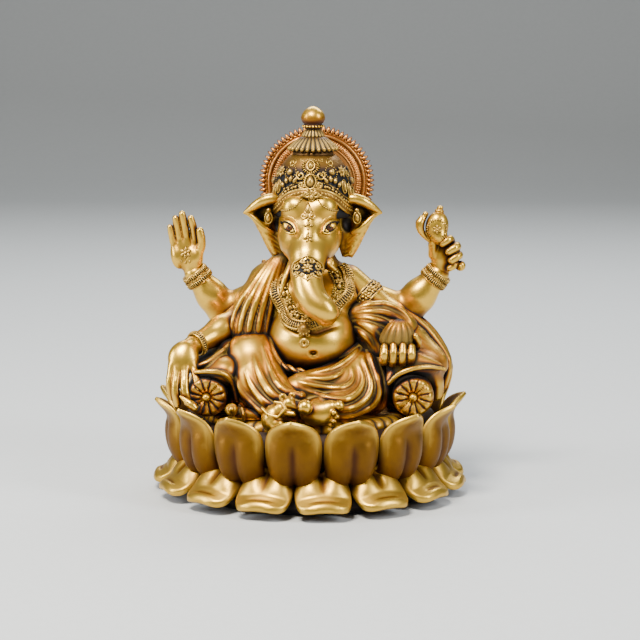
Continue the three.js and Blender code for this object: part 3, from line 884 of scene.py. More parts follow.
def head_shape():
    """Skull, brow, cheeks and the bridge into the trunk, with eye sockets and mouth corners cut in."""
    masses = [
        ball(face_at(1, 0, 2.0, 88.8), [9.9, 11.2, 10.0]),
        ball(face_at(1, 0, -2.6, 84.8), [9.0, 9.2, 8.8]),
        limb(
            [
                face_at(1, 0, -7.4, 88.0, 4.2),
                face_at(1, -0.1, -10.8, 82.0, 5.0),
                face_at(1, -0.5, -14.4, 76.6, 5.3),
                face_at(1, -0.8, -17.0, 73.0, 4.9),
                face_at(1, -0.9, -18.4, 71.2, 4.3),
            ],
            1.0,
        ),
    ]
    masses += both_balls([4.2, -6.8, 91.4], [4.6, 4.2, 4.2])
    masses += both_balls([5.3, -4.0, 81.6], [4.7, 6.8, 5.4])
    masses += both_limbs([4.4, -6.4, 78.6, 3.6], [3.6, -9.0, 75.2, 2.6])
    masses += both_limbs([3.4, -8.4, 80.2, 4.5], [1.4, -14.4, 75.6, 3.8])
    head = union(masses, 2.6)
    sockets = on_both(
        lambda side: ball(
            face_at(side, 6.5, -13.2, 85.8), [3.8, 2.0, 2.3], (0, -side * EYE_TILT, side * 24),
        ),
    )
    head = cut(head, union(sockets), 1.4)
    lips = both_limbs([6.6, -8.6, 75.6, 0.4], [5.4, -11.6, 74.6, 0.5])
    return cut(head, union(lips), 0.6)


TRUNK_LINE = [
    [-0.9, -16.0, 74.4, 4.7],
    [-1.0, -18.8, 71.0, 4.75],
    [-0.3, -21.6, 67.2, 4.6],
    [1.6, -23.8, 63.8, 4.35],
    [3.9, -24.9, 61.9, 4.0],
    [5.0, -24.8, 60.6, 3.7],
]


def trunk_shape():
    """The trunk, which curls to the figure's left, with a crease across its tip."""
    line = smooth_line(TRUNK_LINE, 26)
    snout = limb([[5.1, -24.8, 60.6, 3.6], [5.0, -24.4, 59.6, 3.2]])
    crease = limb([[0.2, -25.6, 59.4, 0.2], [2.8, -27.8, 60.2, 0.3], [4.8, -28.2, 61.6, 0.2]])
    return cut(union([limb(line, 0.6), snout], 1.0), crease, 0.5)


def prism(outline, front, back, rounding=0.0):
    """An upright plate whose face is an outline of [x, z] points, from front to back along Y."""
    corners = np.array(outline, float)

    def field(points):
        spot = points[:, [0, 2]]
        nearest = np.full(len(points), 1e9)
        inside = np.zeros(len(points), bool)
        for a, b in zip(corners, np.roll(corners, -1, axis=0)):
            edge, offset = b - a, spot - a
            along = np.clip(offset @ edge / (edge @ edge), 0, 1)
            nearest = np.minimum(nearest, np.linalg.norm(offset - along[:, None] * edge, axis=1))
            crosses = (a[1] > spot[:, 1]) != (b[1] > spot[:, 1])
            rise = edge[1] if edge[1] else 1e-9
            inside ^= crosses & (spot[:, 0] < a[0] + edge[0] * (spot[:, 1] - a[1]) / rise)
        flat = np.where(inside, -nearest, nearest)
        deep = np.maximum(front - points[:, 1], points[:, 1] - back)
        return -smooth_min(-flat, -deep, rounding)

    low = [corners[:, 0].min(), front, corners[:, 1].min()]
    high = [corners[:, 0].max(), back, corners[:, 1].max()]
    return Shape(field, low, high)


EAR_OUTLINE = [
    [8.0, 92.6], [12.0, 93.8], [15.6, 93.2], [18.6, 91.4], [21.6, 89.2], [19.4, 87.6], [17.6, 85.2],
    [15.8, 81.6], [14.2, 78.0], [12.6, 74.6], [9.4, 74.6], [7.6, 80.0],
]
EAR_MIDDLE = 0.9


def ear_shape(side):
    """An elephant's ear: a fluted sheet with a rolled upper rim and a deep hollow behind the roll."""

    def at(x, *rest):
        return [EAR_MIDDLE + side * x, *rest]

    sheet = prism([at(*spot) for spot in EAR_OUTLINE], 0.2, 4.6, 1.8)
    hollow = union(
        [
            ball(at(14.6, -0.8, 88.8), [4.6, 4.4, 3.0], (0, side * 16, 0)),
            ball(at(11.4, -0.8, 86.0), [2.6, 3.6, 3.6]),
        ],
        1.0,
    )
    ear = cut(sheet, hollow, 0.6)
    # Painted shade: the hollow behind the roll is darkened inside these balls.
    SHADED_HOLLOWS.append(ball(at(14.4, 1.8, 88.6), [4.8, 3.6, 3.2], (0, side * 16, 0)))
    SHADED_HOLLOWS.append(ball(at(10.6, 1.6, 86.0), [2.6, 3.4, 4.6]))
    roll = strand(
        [
            at(9.4, -0.2, 92.4, 1.2), at(12.2, -0.8, 93.6, 1.65), at(15.4, -0.9, 93.0, 1.7),
            at(18.2, -0.2, 91.4, 1.45), at(20.4, 0.6, 89.8, 0.95), at(21.9, 0.9, 88.9, 0.35),
        ],
        16,
    )
    lip = strand(
        [
            at(21.4, 0.9, 88.9, 0.4), at(19.0, 0.4, 87.6, 0.8), at(16.8, -0.2, 85.4, 0.95),
            at(14.6, -0.2, 83.6, 0.9), at(12.6, 0.2, 82.6, 0.7),
        ],
        12,
    )
    flutes = [
        limb(
            [
                at(16.9 - 1.2 * i, 0.2, 84.2 - 2.1 * i, 0.75),
                at(14.3 - 0.8 * i, -0.3, 81.8 - 1.9 * i, 0.85),
                at(11.2 - 0.3 * i, 0.4, 79.8 - 1.5 * i, 0.6),
            ],
        )
        for i in range(4)
    ]
    hem = strand(
        [
            at(18.6, 0.6, 86.8, 0.6), at(16.2, 0.6, 82.4, 0.65), at(14.2, 0.6, 78.2, 0.65),
            at(12.4, 0.8, 75.0, 0.5),
        ],
        12,
    )
    return union([ear, roll, lip, hem, *flutes], 0.5)


def finger(points, radius, tip=0.82):
    """One finger through its joints, a little thicker at each joint, ending in a rounded tip."""
    line = smooth_line(points, 9)
    radii = radius * np.array([1.06, 1.02, 0.96, 1.0, 0.96, 0.92, 0.95, 0.9, tip])
    return limb(np.column_stack([line, radii]))


def blessing_hand():
    """Raised right hand, palm forward, fingers up and a little apart."""
    palm = union(
        [
            ball([-39.9, 6.6, 75.4], [4.7, 2.3, 4.9], (0, -8, 0)),
            ball([-37.0, 5.4, 74.0], [2.5, 2.3, 3.6], (0, -16, 0)),
            ball([-42.6, 5.8, 73.8], [2.0, 2.0, 3.6], (0, -10, 0)),
            limb([[-37.6, 6.2, 69.4, 3.0], [-38.4, 6.4, 72.4, 3.0]]),
        ],
        1.3,
    )
    digits = [
        finger([[-36.8, 6.3, 77.6], [-37.2, 5.9, 82.4], [-38.2, 5.3, 86.6]], 1.32),
        finger([[-39.3, 6.3, 78.2], [-40.2, 5.9, 83.6], [-41.0, 5.3, 88.0]], 1.36),
        finger([[-41.5, 6.3, 77.6], [-42.4, 6.0, 82.6], [-43.1, 5.5, 86.6]], 1.28),
        finger([[-43.3, 6.3, 76.0], [-44.3, 6.0, 80.4], [-44.9, 5.7, 83.8]], 1.12),
        finger([[-36.2, 4.9, 73.8], [-34.7, 4.2, 78.4], [-35.2, 3.8, 82.8]], 1.42),
    ]
    return union([palm, union(digits, 0.25)], 0.9)


def gripping_hand():
    """Raised left hand, closed on the grip of the conch."""
    palm = union(
        [
            ball([42.9, 6.6, 75.0], [4.3, 3.4, 5.0], (0, -18, 0)),
            limb([[41.8, 6.2, 69.6, 3.1], [42.6, 6.4, 73, 3.4]]),
        ],
        1.2,
    )
    digits = [
        finger([[39.6, 5.4, 75.0], [39.6, 3.2, 79.4], [42.6, 2.0, 81.8]], 1.6),
        finger([[45.0, 5.0, 79.6], [44.4, 2.0, 80.2], [42.4, 1.4, 79.0]], 1.45),
        finger([[47.0, 5.0, 77.6], [46.6, 1.8, 77.8], [44.4, 1.2, 76.4]], 1.5),
        finger([[47.6, 5.2, 74.8], [47.4, 2.0, 75.0], [45.2, 1.2, 73.6]], 1.45),
        finger([[46.8, 5.4, 72.2], [46.6, 2.6, 72.2], [44.8, 1.8, 71.0]], 1.3),
    ]
    return union([palm, union(digits, 0.2)], 0.7)


def hanging_hand():
    """Lowered right hand over the bolster, its back to the front."""
    palm = union(
        [
            ball([-39.8, -18.2, 45.4], [4.6, 2.9, 5.2], (-24, 8, 0)),
            ball([-37.2, -17.4, 44.6], [2.4, 2.4, 3.6], (-20, -10, 0)),
            limb([[-37.0, -13.8, 48.6, 3.0], [-38.6, -16.0, 47.4, 3.1]]),
        ],
        1.4,
    )
    digits = [
        finger([[-43.0, -19.6, 42.8], [-43.6, -21.4, 37.8], [-42.9, -21.4, 33.4]], 1.35),
        finger([[-41.2, -20.4, 42.2], [-41.8, -23.0, 36.6], [-41.2, -23.4, 31.8]], 1.4),
        finger([[-38.9, -20.6, 42.0], [-38.9, -23.6, 37.0], [-38.1, -24.4, 32.6]], 1.45),
        finger([[-36.6, -19.4, 43.0], [-35.2, -22.4, 39.4], [-35.0, -23.2, 36.6]], 1.3),
    ]
    return union([palm, union(digits, 0.2)], 0.9)


def offering_hand():
    """Lowered left hand, four fingers curled up in front of the sweet."""
    palm = union(
        [
            ball([27.4, -16.0, 47.2], [4.8, 3.8, 3.8]),
            limb([[27, -12.6, 50, 3.4], [27.2, -15, 48.4, 3.6]]),
        ],
        1.4,
    )
    digits = []
    for i, x in enumerate((23.2, 26.0, 28.9, 31.6)):
        dip = 0.5 * (i in (0, 3))
        digits.append(
            finger([[x, -16.8, 43.8 + dip], [x - 0.1, -20.8, 44.4 + dip], [x, -21.6, 47.0],
                    [x + 0.1, -20.4, 49.6 - dip]], 1.5)
        )
    thumb = finger([[32.2, -14.6, 47.0], [33.8, -17.0, 49.6], [33.0, -18.6, 52.2]], 1.3)
    return union([palm, union([*digits, thumb], 0.15)], 0.5)


def foot_shape():
    """The right foot, sole up in front of the ankles, with its toes to the figure's left."""
    sole = union(
        [
            ball([1.6, -35.4, 31.0], [4.6, 3.4, 3.9], (0, 6, 0)),
            ball([5.0, -35.8, 31.2], [3.6, 3.0, 3.8]),
            ball([6.8, -35.6, 33.2], [2.0, 2.2, 2.0]),
        ],
        1.2,
    )
    toes = [
        limb([[7.0, -36.0, 33.4, 1.6], [9.0, -37.0, 33.8, 1.65]]),
        limb([[6.4, -37.0, 32.0, 1.0], [7.4, -38.4, 31.9, 1.0]]),
        limb([[6.6, -37.0, 30.7, 0.95], [8.2, -38.2, 30.6, 0.95]]),
        limb([[6.2, -37.0, 29.4, 0.9], [7.4, -38.2, 29.2, 0.9]]),
        limb([[5.8, -36.8, 28.2, 0.8], [6.6, -37.6, 27.9, 0.8]]),
    ]
    return union([sole, union(toes, 0.1)], 0.4)


def tusk_stub_shape():
    """The broken left tusk: a short cone in a ringed root."""
    root = limb([[4.6, -14.2, 75.6, 1.6], [6.0, -15.6, 74.6, 1.5]])
    collar = ball([5.9, -15.6, 74.7], [2.0, 1.1, 2.0], (0, 30, -40))
    cone = limb([[6.2, -16.0, 74.4, 1.35], [7.8, -17.6, 73.2, 0.45]])
    return union([root, collar, cone], 0.3)


TORSO = torso_shape()
HEAD = head_shape()
TRUNK = trunk_shape()


def sculpt_flesh():
    pieces = [
        ("torso", TORSO, 0.55),
        ("head", HEAD, 0.36),
        ("trunk", TRUNK, 0.36),
        ("ear_right", ear_shape(-1), 0.32),
        ("ear_left", ear_shape(1), 0.32),
        (
            "rear_right_arm",
            bent_arm(REAR_SHOULDER_RIGHT, REAR_RIGHT),
            0.5,
            ["rear_right_upper_arm", "rear_right_forearm"],
        ),
        (
            "rear_left_arm",
            bent_arm(REAR_SHOULDER_LEFT, REAR_LEFT),
            0.5,
            ["rear_left_upper_arm", "rear_left_forearm"],
        ),
        ("front_right_arm", bent_arm(SHOULDER_RIGHT, FRONT_RIGHT), 0.5),
        ("front_left_arm", bent_arm(SHOULDER_LEFT, FRONT_LEFT), 0.5),
        ("rear_right_hand", blessing_hand(), 0.3),
        ("rear_left_hand", gripping_hand(), 0.3),
        ("front_right_hand", hanging_hand(), 0.3),
        ("front_left_hand", offering_hand(), 0.3),
        ("right_foot", foot_shape(), 0.26),
        (
            "tusk_right",
            strand([[-5.4, -14.6, 74.6, 1.5], [-7.4, -17.2, 70.4, 1.2], [-9.0, -18.4, 66.2, 0.35]], 8),
            0.26,
        ),
        ("tusk_left", tusk_stub_shape(), 0.22, ["tusk_left_broken"]),
    ]
    sculpt_pieces("gold_skin", pieces)


sculpt_flesh()


# ---- Cloth ---------------------------------------------------------------------------------------
RIGHT_LEG = [
    [-10, 2, 38, 10.5],
    [-18.2, -10.0, 43.0, 9.2],
    [-16.4, -16.6, 38.4, 8.2],
    [-10, -24.6, 33.6, 6.4],
    [-3, -29.6, 31, 4.2],
]
LEFT_LEG = [
    [8, 2, 38, 10.5],
    [15.6, -11, 38, 8.6],
    [16.8, -15.6, 35, 7.2],
    [9, -25, 31.6, 5.2],
    [1, -29.6, 30.6, 3.8],
]
LAP = [
    [17, -4, 43, 6.6], [14, -12, 38, 8.4], [6, -19.0, 36.4, 6.8], [-2, -22.4, 36.0, 5.6],
    [-6, -23.4, 35.4, 4.6],
]
RIGHT_LEG_FOLDS = [
    ([[-25.2, 37.8], [-22.8, 33.4], [-18.6, 29.6], [-13.6, 27.6], [-8, 27.2]], 1.5),
    ([[-23.2, 40.2], [-20.4, 35.0], [-16.0, 31.4], [-11.4, 29.8], [-6.0, 29.0]], 1.5),
    ([[-20.2, 42.6], [-17.6, 37.6], [-13.6, 33.8], [-9.4, 32.1], [-3, 31.2]], 1.5),
    ([[-17.6, 46.6], [-15.6, 41.6], [-13.2, 38.0], [-10.0, 35.2], [-5.8, 33.8], [0, 33.2]], 1.5),
    ([[-15.2, 49.8], [-12.8, 43.6], [-10.2, 39.2], [-6.8, 36.6], [-1.6, 35.2]], 1.4),
    ([[-12.6, 50.6], [-10.2, 45.0], [-7.4, 41.0], [-4.2, 38.4], [0.5, 36.8]], 1.3),
]
LEFT_LEG_FOLDS = [
    (
        [[19.4, 49.4], [22.8, 42.2], [24.0, 35.6], [23.2, 31.0], [20.0, 28.0], [15.8, 27.0], [8, 27.4]],
        1.6,
    ),
    (
        [[18.0, 47.6], [20.8, 39.6], [21.3, 34.8], [19.2, 31.2], [14.8, 29.6], [9.6, 29.4], [2.9, 30.4]],
        1.5,
    ),
    (
        [[16.4, 45.6], [18.8, 38.4], [17.9, 34.6], [15.1, 32.4], [11.4, 31.6], [7.0, 32.0], [0.0, 33.6]],
        1.45,
    ),
    (
        [[15.0, 43.8], [16.6, 39.4], [15.2, 36.2], [12.4, 34.6], [9.2, 34.2], [4.4, 35.0], [-3.5, 37.2]],
        1.35,
    ),
    ([[13.0, 42.8], [13.4, 39.4], [11.0, 37.5], [6.2, 37.2], [1.0, 38.2], [-4.0, 39.4]], 1.2),
    ([[11.0, 42.6], [9.0, 40.9], [5.0, 39.9], [-1.4, 40.4]], 1.05),
    ([[16.4, 48.0], [11.0, 44.2], [6.0, 42.2], [0.0, 41.4]], 1.15),
    ([[18.4, 50.0], [13.0, 46.8], [8.0, 44.6], [3.6, 43.4]], 1.0),
]


def pleated(base, folds, blend=0.6, sink=-0.05):
    return union([base, *[fold(base, spots, radius, sink) for spots, radius in folds]], blend)


def sash_shape():
    """A twisted rope of cloth below the belly: two strands wound round one line."""
    line = smooth_line(
        [[-12.6, -12.5, 45.2], [-7, -18.4, 42.2], [1, -21.0, 40.9], [8, -19, 42.3], [13.6, -12.5, 46]],
        60,
    )
    strands = []
    for phase in (0, math.pi):
        twist = np.linspace(0, 9 * math.pi, 60) + phase
        strand = line + 0.55 * np.column_stack([np.cos(twist) * 0.3, np.cos(twist), np.sin(twist)])
        strands.append(limb(np.column_stack([strand, np.full(60, 0.75)])))
    return union(strands)


SHAWL_RIGHT = [
    [-9.6, 1, 73, 3.2],
    [-13.4, 1, 67.0, 5.7],
    [-17.2, -2.6, 60, 6.6],
    [-18.8, -5.6, 52.6, 6.2],
    [-17.6, -8.6, 46, 5.0],
]


def shawl_right_shape():
    """The shawl over the right shoulder: long folds that fan out downwards, with deep gaps."""
    base = limb(SHAWL_RIGHT, 2.0)
    folds = []
    for share in np.linspace(0, 1, 6):
        spots = [
            [-10.6 + 3.4 * share, 76.4 - 0.6 * share],
            [-16.4 + 7.4 * share, 69.0],
            [-22.4 + 12.2 * share, 60.0],
            [-24.6 + 13.6 * share, 52.5],
            [-23.8 + 12.6 * share, 44.6],
        ]
        folds.append((spots, 1.3))
    return pleated(base, folds, 0.4, 0.0)


def shawl_left_shape():
    """The shawl over the left forearm: folds run along the arm and hang down beside the belly."""
    over_arm = limb(
        [[14.5, -6, 57.4, 3.2], [20, -5, 56.0, 5.0], [25, -3.6, 54.4, 6.0], [29, -4, 52.4, 5.4]],
        1.6,
    )
    hanging = limb(
        [[18, -6, 57, 4.4], [20, -8.5, 51, 5.0], [21.5, -9, 46.5, 4.6], [23, -8, 43, 4.0]],
        1.6,
    )
    folds = [
        ([[13.6, 59.2], [18.8, 60.6], [24.8, 60.2], [29.6, 57.8], [32.4, 54.4]], 1.3),
        ([[12.8, 57.6], [18.2, 58.6], [24.4, 57.8], [29.2, 55.2], [31.4, 51.6]], 1.3),
        ([[12.4, 56.2], [17.6, 56.8], [23.0, 55.4], [27.0, 52.4], [29.2, 48.6]], 1.25),
        ([[12.4, 54.8], [16.8, 55.0], [21.2, 53.4], [24.0, 50.2], [24.8, 46.0]], 1.2),
        ([[12.6, 55.2], [16.6, 54.6], [20.2, 52.6], [22.2, 49.2], [22.4, 45.0]], 1.2),
        ([[13.6, 53.4], [16.4, 52.2], [18.8, 49.8], [19.8, 46.4]], 1.1),
    ]
    return pleated(union([over_arm, hanging], 1.6), folds, 0.7, 0.1)


def shawl_back_shape():
    """The shawl across the back, with five long waves."""
    base = limb(
        [[-14, 9, 66, 5.4], [-6, 13, 61, 5.4], [6, 14, 58, 5.6], [16, 12, 58, 5.2], [27, 8, 57, 4.6]],
        2.0,
    )
    waves = []
    for i in range(5):
        rise, off_middle = 5.6 - 2.6 * i, abs(i - 2)
        waves.append(
            limb(
                [
                    [-15, 13.4 - 0.5 * off_middle, 66 + rise, 0.9],
                    [-6, 17.6 - 0.6 * off_middle, 61 + rise, 1.2],
                    [6, 18.6 - 0.6 * off_middle, 58 + rise, 1.2],
                    [16, 16.2 - 0.5 * off_middle, 58 + rise, 1.1],
                    [26, 11.6 - 0.5 * off_middle, 57 + rise * 0.8, 0.8],
                ]
            )
        )
    return union([base, *waves], 0.5)


def shawl_tail_shape():
    """The end of the shawl, which hangs from the left elbow outside the cushion."""
    lines = [
        [
            [30, 3, 56.4, 2.0], [36.6, 2, 51.4, 2.0], [41.6, 0, 45.4, 1.7], [44.2, -2, 40.4, 1.4],
            [42.6, -2, 33, 1.2], [41, -2, 30.4, 1.0],
        ],
        [
            [30, 6, 56.8, 2.0], [37.6, 6, 51.0, 2.0], [42.6, 5, 44.4, 1.8], [44.6, 3, 38.6, 1.6],
            [43.4, 2, 32, 1.4], [42.0, 2, 30.2, 1.2],
        ],
        [
            [30, 9, 56.0, 1.8], [37.0, 10, 50.0, 2.0], [41.6, 9.6, 43.4, 1.8], [43.4, 8, 37.6, 1.6],
            [42.4, 7, 31.6, 1.4], [41, 7, 30, 1.2],
        ],
    ]
    return union([strand(line, 12) for line in lines], 0.8)


BOLSTER_FLUTES = 12


def bolster_shape(side):
    """A bolster whose ends are gathered into radial flutes round a sunk middle."""
    low, high = (corner_mm(f"bolster_{'left' if side > 0 else 'right'}", k) for k in (0, 1))
    x, z = (low[0] + high[0]) / 2, (low[2] + high[2]) / 2
    radius = (high[2] - low[2]) / 2 - 0.1
    front, back = low[1], high[1]

    def field(points):
        dx, dz = points[:, 0] - x, points[:, 2] - z
        out = np.hypot(dx, dz)
        angle = np.arctan2(dz, dx)
        ridge = np.abs(np.cos(BOLSTER_FLUTES / 2 * angle)) ** 0.32
        inward = np.clip(1 - out / radius, 0, 1)
        end = np.maximum(front - points[:, 1], points[:, 1] - back)
        dome = end - 1.9 * np.sqrt(np.clip(1 - (out / radius) ** 2, 0, 1)) + 2.4 * inward**2.2
        dome = dome - 1.1 * ridge * np.clip(out / radius, 0, 1) ** 0.5 * np.clip(5 * inward, 0, 1) ** 0.6
        near_end = np.clip(1 - np.abs(end) / 3.0, 0, 1)
        side_wall = out - radius - 0.25 * ridge * near_end
        return -smooth_min(-side_wall, -(dome + 1.0), 1.6)

    return Shape(
        field,
        [x - radius - 1, front - 1.5, z - radius - 1],
        [x + radius + 1, back + 1.5, z + radius + 1],
    )


def cover_right_shape():
    """A cloth laid over the right bolster, under the forearm."""
    base = union(
        [
            ball([-29.4, -4, 40.4], [8.8, 18.6, 5.6]),
            ball([-26.6, -16, 41], [5.4, 7, 4.8]),
            ball([-25.5, -2, 46], [5, 12, 5]),
        ],
        2.0,
    )
    lip = strand(
        [
            [-35.5, -22.6, 41.6, 0.7], [-31, -24.4, 42.2, 0.8], [-26.5, -23.8, 41.2, 0.8],
            [-23.8, -22, 37.6, 0.8], [-22.8, -21, 32.6, 0.7],
        ],
        16,
    )
    folds = [
        strand(
            [
                [-23.0 - 1.4 * i, -9 - 2.2 * i, 50.4 - 1.0 * i, 0.6],
                [-26.6 - 1.6 * i, -12 - 2.4 * i, 45.6 - 0.4 * i, 0.9],
                [-30.4 - 1.4 * i, -12 - 2.6 * i, 44.0 - 0.3 * i, 0.8],
                [-35.6 - 0.5 * i, -12 - 2.2 * i, 42.4 - 0.3 * i, 0.5],
            ],
            12,
        )
        for i in range(4)
    ]
    return union([base, lip, *folds], 0.8)


def cushion_left_shape():
    """A thin cushion draped over the left bolster, drawn out to a corner at the front."""
    base = union(
        [
            ball([33.4, -4, 42.4], [9.6, 17.6, 5.4], (0, 4, 0)),
            limb([[27.0, -16, 44, 2.6], [33, -18, 44.4, 3.0], [41.0, -18, 42.4, 1.0]]),
            limb([[26.0, -18, 42, 2.0], [24.8, -21, 38.6, 1.2]]),
            limb([[33, -6, 46, 4.0], [41.4, -10, 43.6, 1.8]]),
            limb([[28, -2, 52.4, 4.6], [33, -4, 48.6, 4.8], [38.6, -7, 44.4, 3.4], [41.6, -9, 41, 2.0]]),
            limb([[29, 6, 52.4, 4.6], [34.6, 6, 47.6, 5.0], [39.8, 4, 42.0, 3.4], [41.2, 3, 37, 2.0]]),
            limb([[37.4, -14, 41.4, 2.6], [39.4, -11, 36.4, 3.0], [39.8, -8, 32.4, 2.8]]),
        ],
        2.4,
    )
    lip = strand(
        [
            [24.6, -23.4, 38.2, 0.6], [27.4, -24.6, 41.2, 0.75], [31.4, -24.4, 42.9, 0.75],
            [36.6, -22.6, 43.3, 0.7], [42.4, -19.4, 42.0, 0.5],
        ],
        16,
    )
    folds = [
        strand(
            [
                [30.0 + i, -8.6 + 2.4 * i, 52.6, 0.5],
                [35.4 + i, -9.4 + 2.4 * i, 48.0, 0.9],
                [40.0 + 0.8 * i, -10.6 + 2.4 * i, 43.6, 0.8],
                [41.6 + 0.5 * i, -9.6 + 2.4 * i, 38.2, 0.5],
            ],
            12,
        )
        for i in range(3)
    ]
    return union([base, lip, *folds], 0.9)


def dhoti_hips_shape():
    """The dhoti round the hips: sagging folds across the back, and cloth beside the legs."""
    wrap = common(ball([0, 4.4, 38], [17.4, 14.0, 12.0]), half_space([0, 0, 43.5], (0, -0.25, 1)), 1.2)
    wrap = common(wrap, half_space([0, -3, 38], (0, -1, 0)), 0.8)
    folds = []
    for i in range(6):
        height, sag = 42.6 - 2.6 * i, 1.6 + 0.5 * i
        turn = np.linspace(math.radians(-20), math.radians(200), 15)
        dip = sag * np.sin(turn)
        across = 17.2 * np.sqrt(np.clip(1 - ((height - dip - 38) / 12.6) ** 2, 0.05, 1))
        places = [across * np.cos(turn), 4.4 + across * 0.8 * np.sin(turn), height - dip]
        folds.append(limb(np.column_stack([*places, np.full(15, 0.95)])))
    beside = [
        limb([[-25.4, -7, 30.0, 3.2], [-24.8, 1, 32.6, 4.6], [-21, 8, 34, 5.0]], 1.0),
        limb([[26.2, -8, 29.6, 2.8], [26.0, 0, 32.2, 4.6], [22, 8, 34, 5.0]], 1.0),
    ]
    return union([wrap, *folds, *beside], 0.7)


def sculpt_cloth():
    pieces = [
        ("dhoti_right_leg", pleated(limb(RIGHT_LEG, 2.0), RIGHT_LEG_FOLDS), 0.42),
        ("dhoti_left_leg", pleated(union([limb(LEFT_LEG, 2.0), limb(LAP)], 2.0), LEFT_LEG_FOLDS), 0.42),
        ("waist_sash", sash_shape(), 0.3),
        ("dhoti_hips", dhoti_hips_shape(), 0.5, []),
        ("shawl_right", shawl_right_shape(), 0.42),
        ("shawl_left", shawl_left_shape(), 0.42),
        ("shawl_back", shawl_back_shape(), 0.5),
        ("shawl_tail", shawl_tail_shape(), 0.45, ["shawl_left_tail"]),
        ("bolster_right", bolster_shape(-1), 0.42),
        ("bolster_left", bolster_shape(1), 0.42),
        ("cover_right", cover_right_shape(), 0.5),
        ("cushion_left", cushion_left_shape(), 0.5),
    ]
    sculpt_pieces("gold_cloth", pieces)


sculpt_cloth()


# ---- Mouse, sweets, conch and other small things ---------------------------------------------------
def mouse_shape():
    """A mouse that sits up under a saddle cloth and gnaws a round sweet."""
    body = union(
        [
            ball([-11.2, -36.4, 29.9], [3.5, 3.6, 4.4], (0, 22, 0)),
            ball([-8.6, -36.8, 32.6], [2.7, 2.9, 2.9]),
            ball([-6.4, -37.2, 34.8], [2.2, 2.2, 2.1]),
            limb([[-6.2, -38.0, 34.6, 1.5], [-3.9, -38.8, 33.6, 0.75]]),
            limb([[-8.0, -38.6, 32.0, 1.1], [-4.8, -39.6, 31.8, 0.85]]),
        ],
        0.8,
    )
    haunch = ball([-10.2, -38.4, 28.4], [2.6, 2.2, 2.2])
    ear = cut(
        ball([-8.1, -37.4, 36.5], [1.25, 0.9, 1.3], (0, -24, 0)),
        ball([-8.0, -38.3, 36.5], [0.75, 0.9, 0.8], (0, -24, 0)),
        0.2,
    )
    far_ear = ball([-5.4, -36.0, 36.8], [1.1, 0.7, 1.1])
    blanket_edge = limb(
        [
            [-14.4, -36.8, 33.0, 0.5], [-12.6, -39.2, 31.6, 0.45], [-9.6, -40.4, 31.0, 0.45],
            [-7.2, -39.8, 33.4, 0.4], [-8.4, -38.8, 35.0, 0.4], [-10.6, -38.0, 35.2, 0.4],
        ],
    )
    eye = ball([-5.6, -39.0, 35.4], [0.4, 0.35, 0.4])
    return union([union([body, haunch], 0.4), ear, far_ear, blanket_edge, eye], 0.2)


def pleated_sweet_shape():
    """A dumpling sweet: a round body gathered in pleats to a peak that leans a little."""
    centre = np.array([27.4, -15.4, 50.8])
    pleats, body_radius, peak, depth, lean = 12, 5.6, 6.4, 3.6, 0.7

    def field(points):
        local = points - centre
        rise = np.clip(local[:, 2] / peak, 0, 1)
        across = np.hypot(local[:, 0] - lean * rise, local[:, 1])
        angle = np.arctan2(local[:, 1], local[:, 0] - lean * rise)
        ridge = np.abs(np.cos(pleats / 2 * angle)) ** 0.8
        level = np.abs(local[:, 2]) / np.where(local[:, 2] > 0, peak, depth)
        radius = body_radius * np.sqrt(np.clip(1 - level**1.7, 0, 1))
        radius = radius - 0.7 * (1 - ridge) * np.clip(radius / body_radius, 0, 1)
        return (across - radius) * 0.6

    return Shape(field, centre - [7, 7, 4], centre + [7, 7, 7])


def conch_shape():
    """A conch: a round body with a knob on top and a curled lip to one side."""
    body = union(
        [ball([40.6, 3.6, 84.2], [3.7, 3.2, 4.9], (0, 10, 0)), ball([41.2, 2.6, 81.2], [2.6, 2.6, 2.8])],
        1.0,
    )
    knob = union(
        [ball([41.4, 3.8, 89.2], [1.5, 1.4, 0.7], (0, 10, 0)), ball([41.6, 3.8, 90.2], [1.0, 1.0, 0.7])],
        0.3,
    )
    wing = union(
        [
            strand(
                [
                    [38.4, 3.0, 79.2, 0.4], [35.6, 3.0, 82.6, 1.1], [35.2, 3.2, 85.4, 1.5],
                    [36.6, 3.6, 87.4, 0.9], [37.4, 3.8, 88.2, 0.5],
                ],
                10,
            ),
            ball([36.9, 3.4, 88.3], [0.8, 0.8, 0.7]),
        ],
        0.4,
    )
    return union([body, knob, wing], 0.4)


def broken_tusk_shape():
    return strand(
        [
            [-40.2, -25.8, 34.6, 0.3], [-38.6, -26.4, 33.6, 0.8], [-36.8, -27.0, 32.2, 1.35],
            [-35.8, -27.2, 31.2, 1.2],
        ],
        8,
    )


def tassel_shape():
    """The knotted end of the waist cloth, with its ball, beside the right bolster."""
    knot = limb([[-22.6, -27.6, 29.8, 1.6], [-19.6, -27.2, 29.2, 1.9], [-16.4, -27.4, 28.8, 1.5]])
    wrap = limb([[-21.0, -28.6, 31.2, 0.6], [-20.6, -29.4, 29.6, 0.7], [-20.4, -29.0, 28.2, 0.6]])
    button = ball([-24.2, -31.4, 31.6], [0.8, 0.7, 0.8])
    return union([ball([-24.1, -29.6, 31.1], [2.0, 2.0, 2.0]), knot, wrap, button], 0.35)


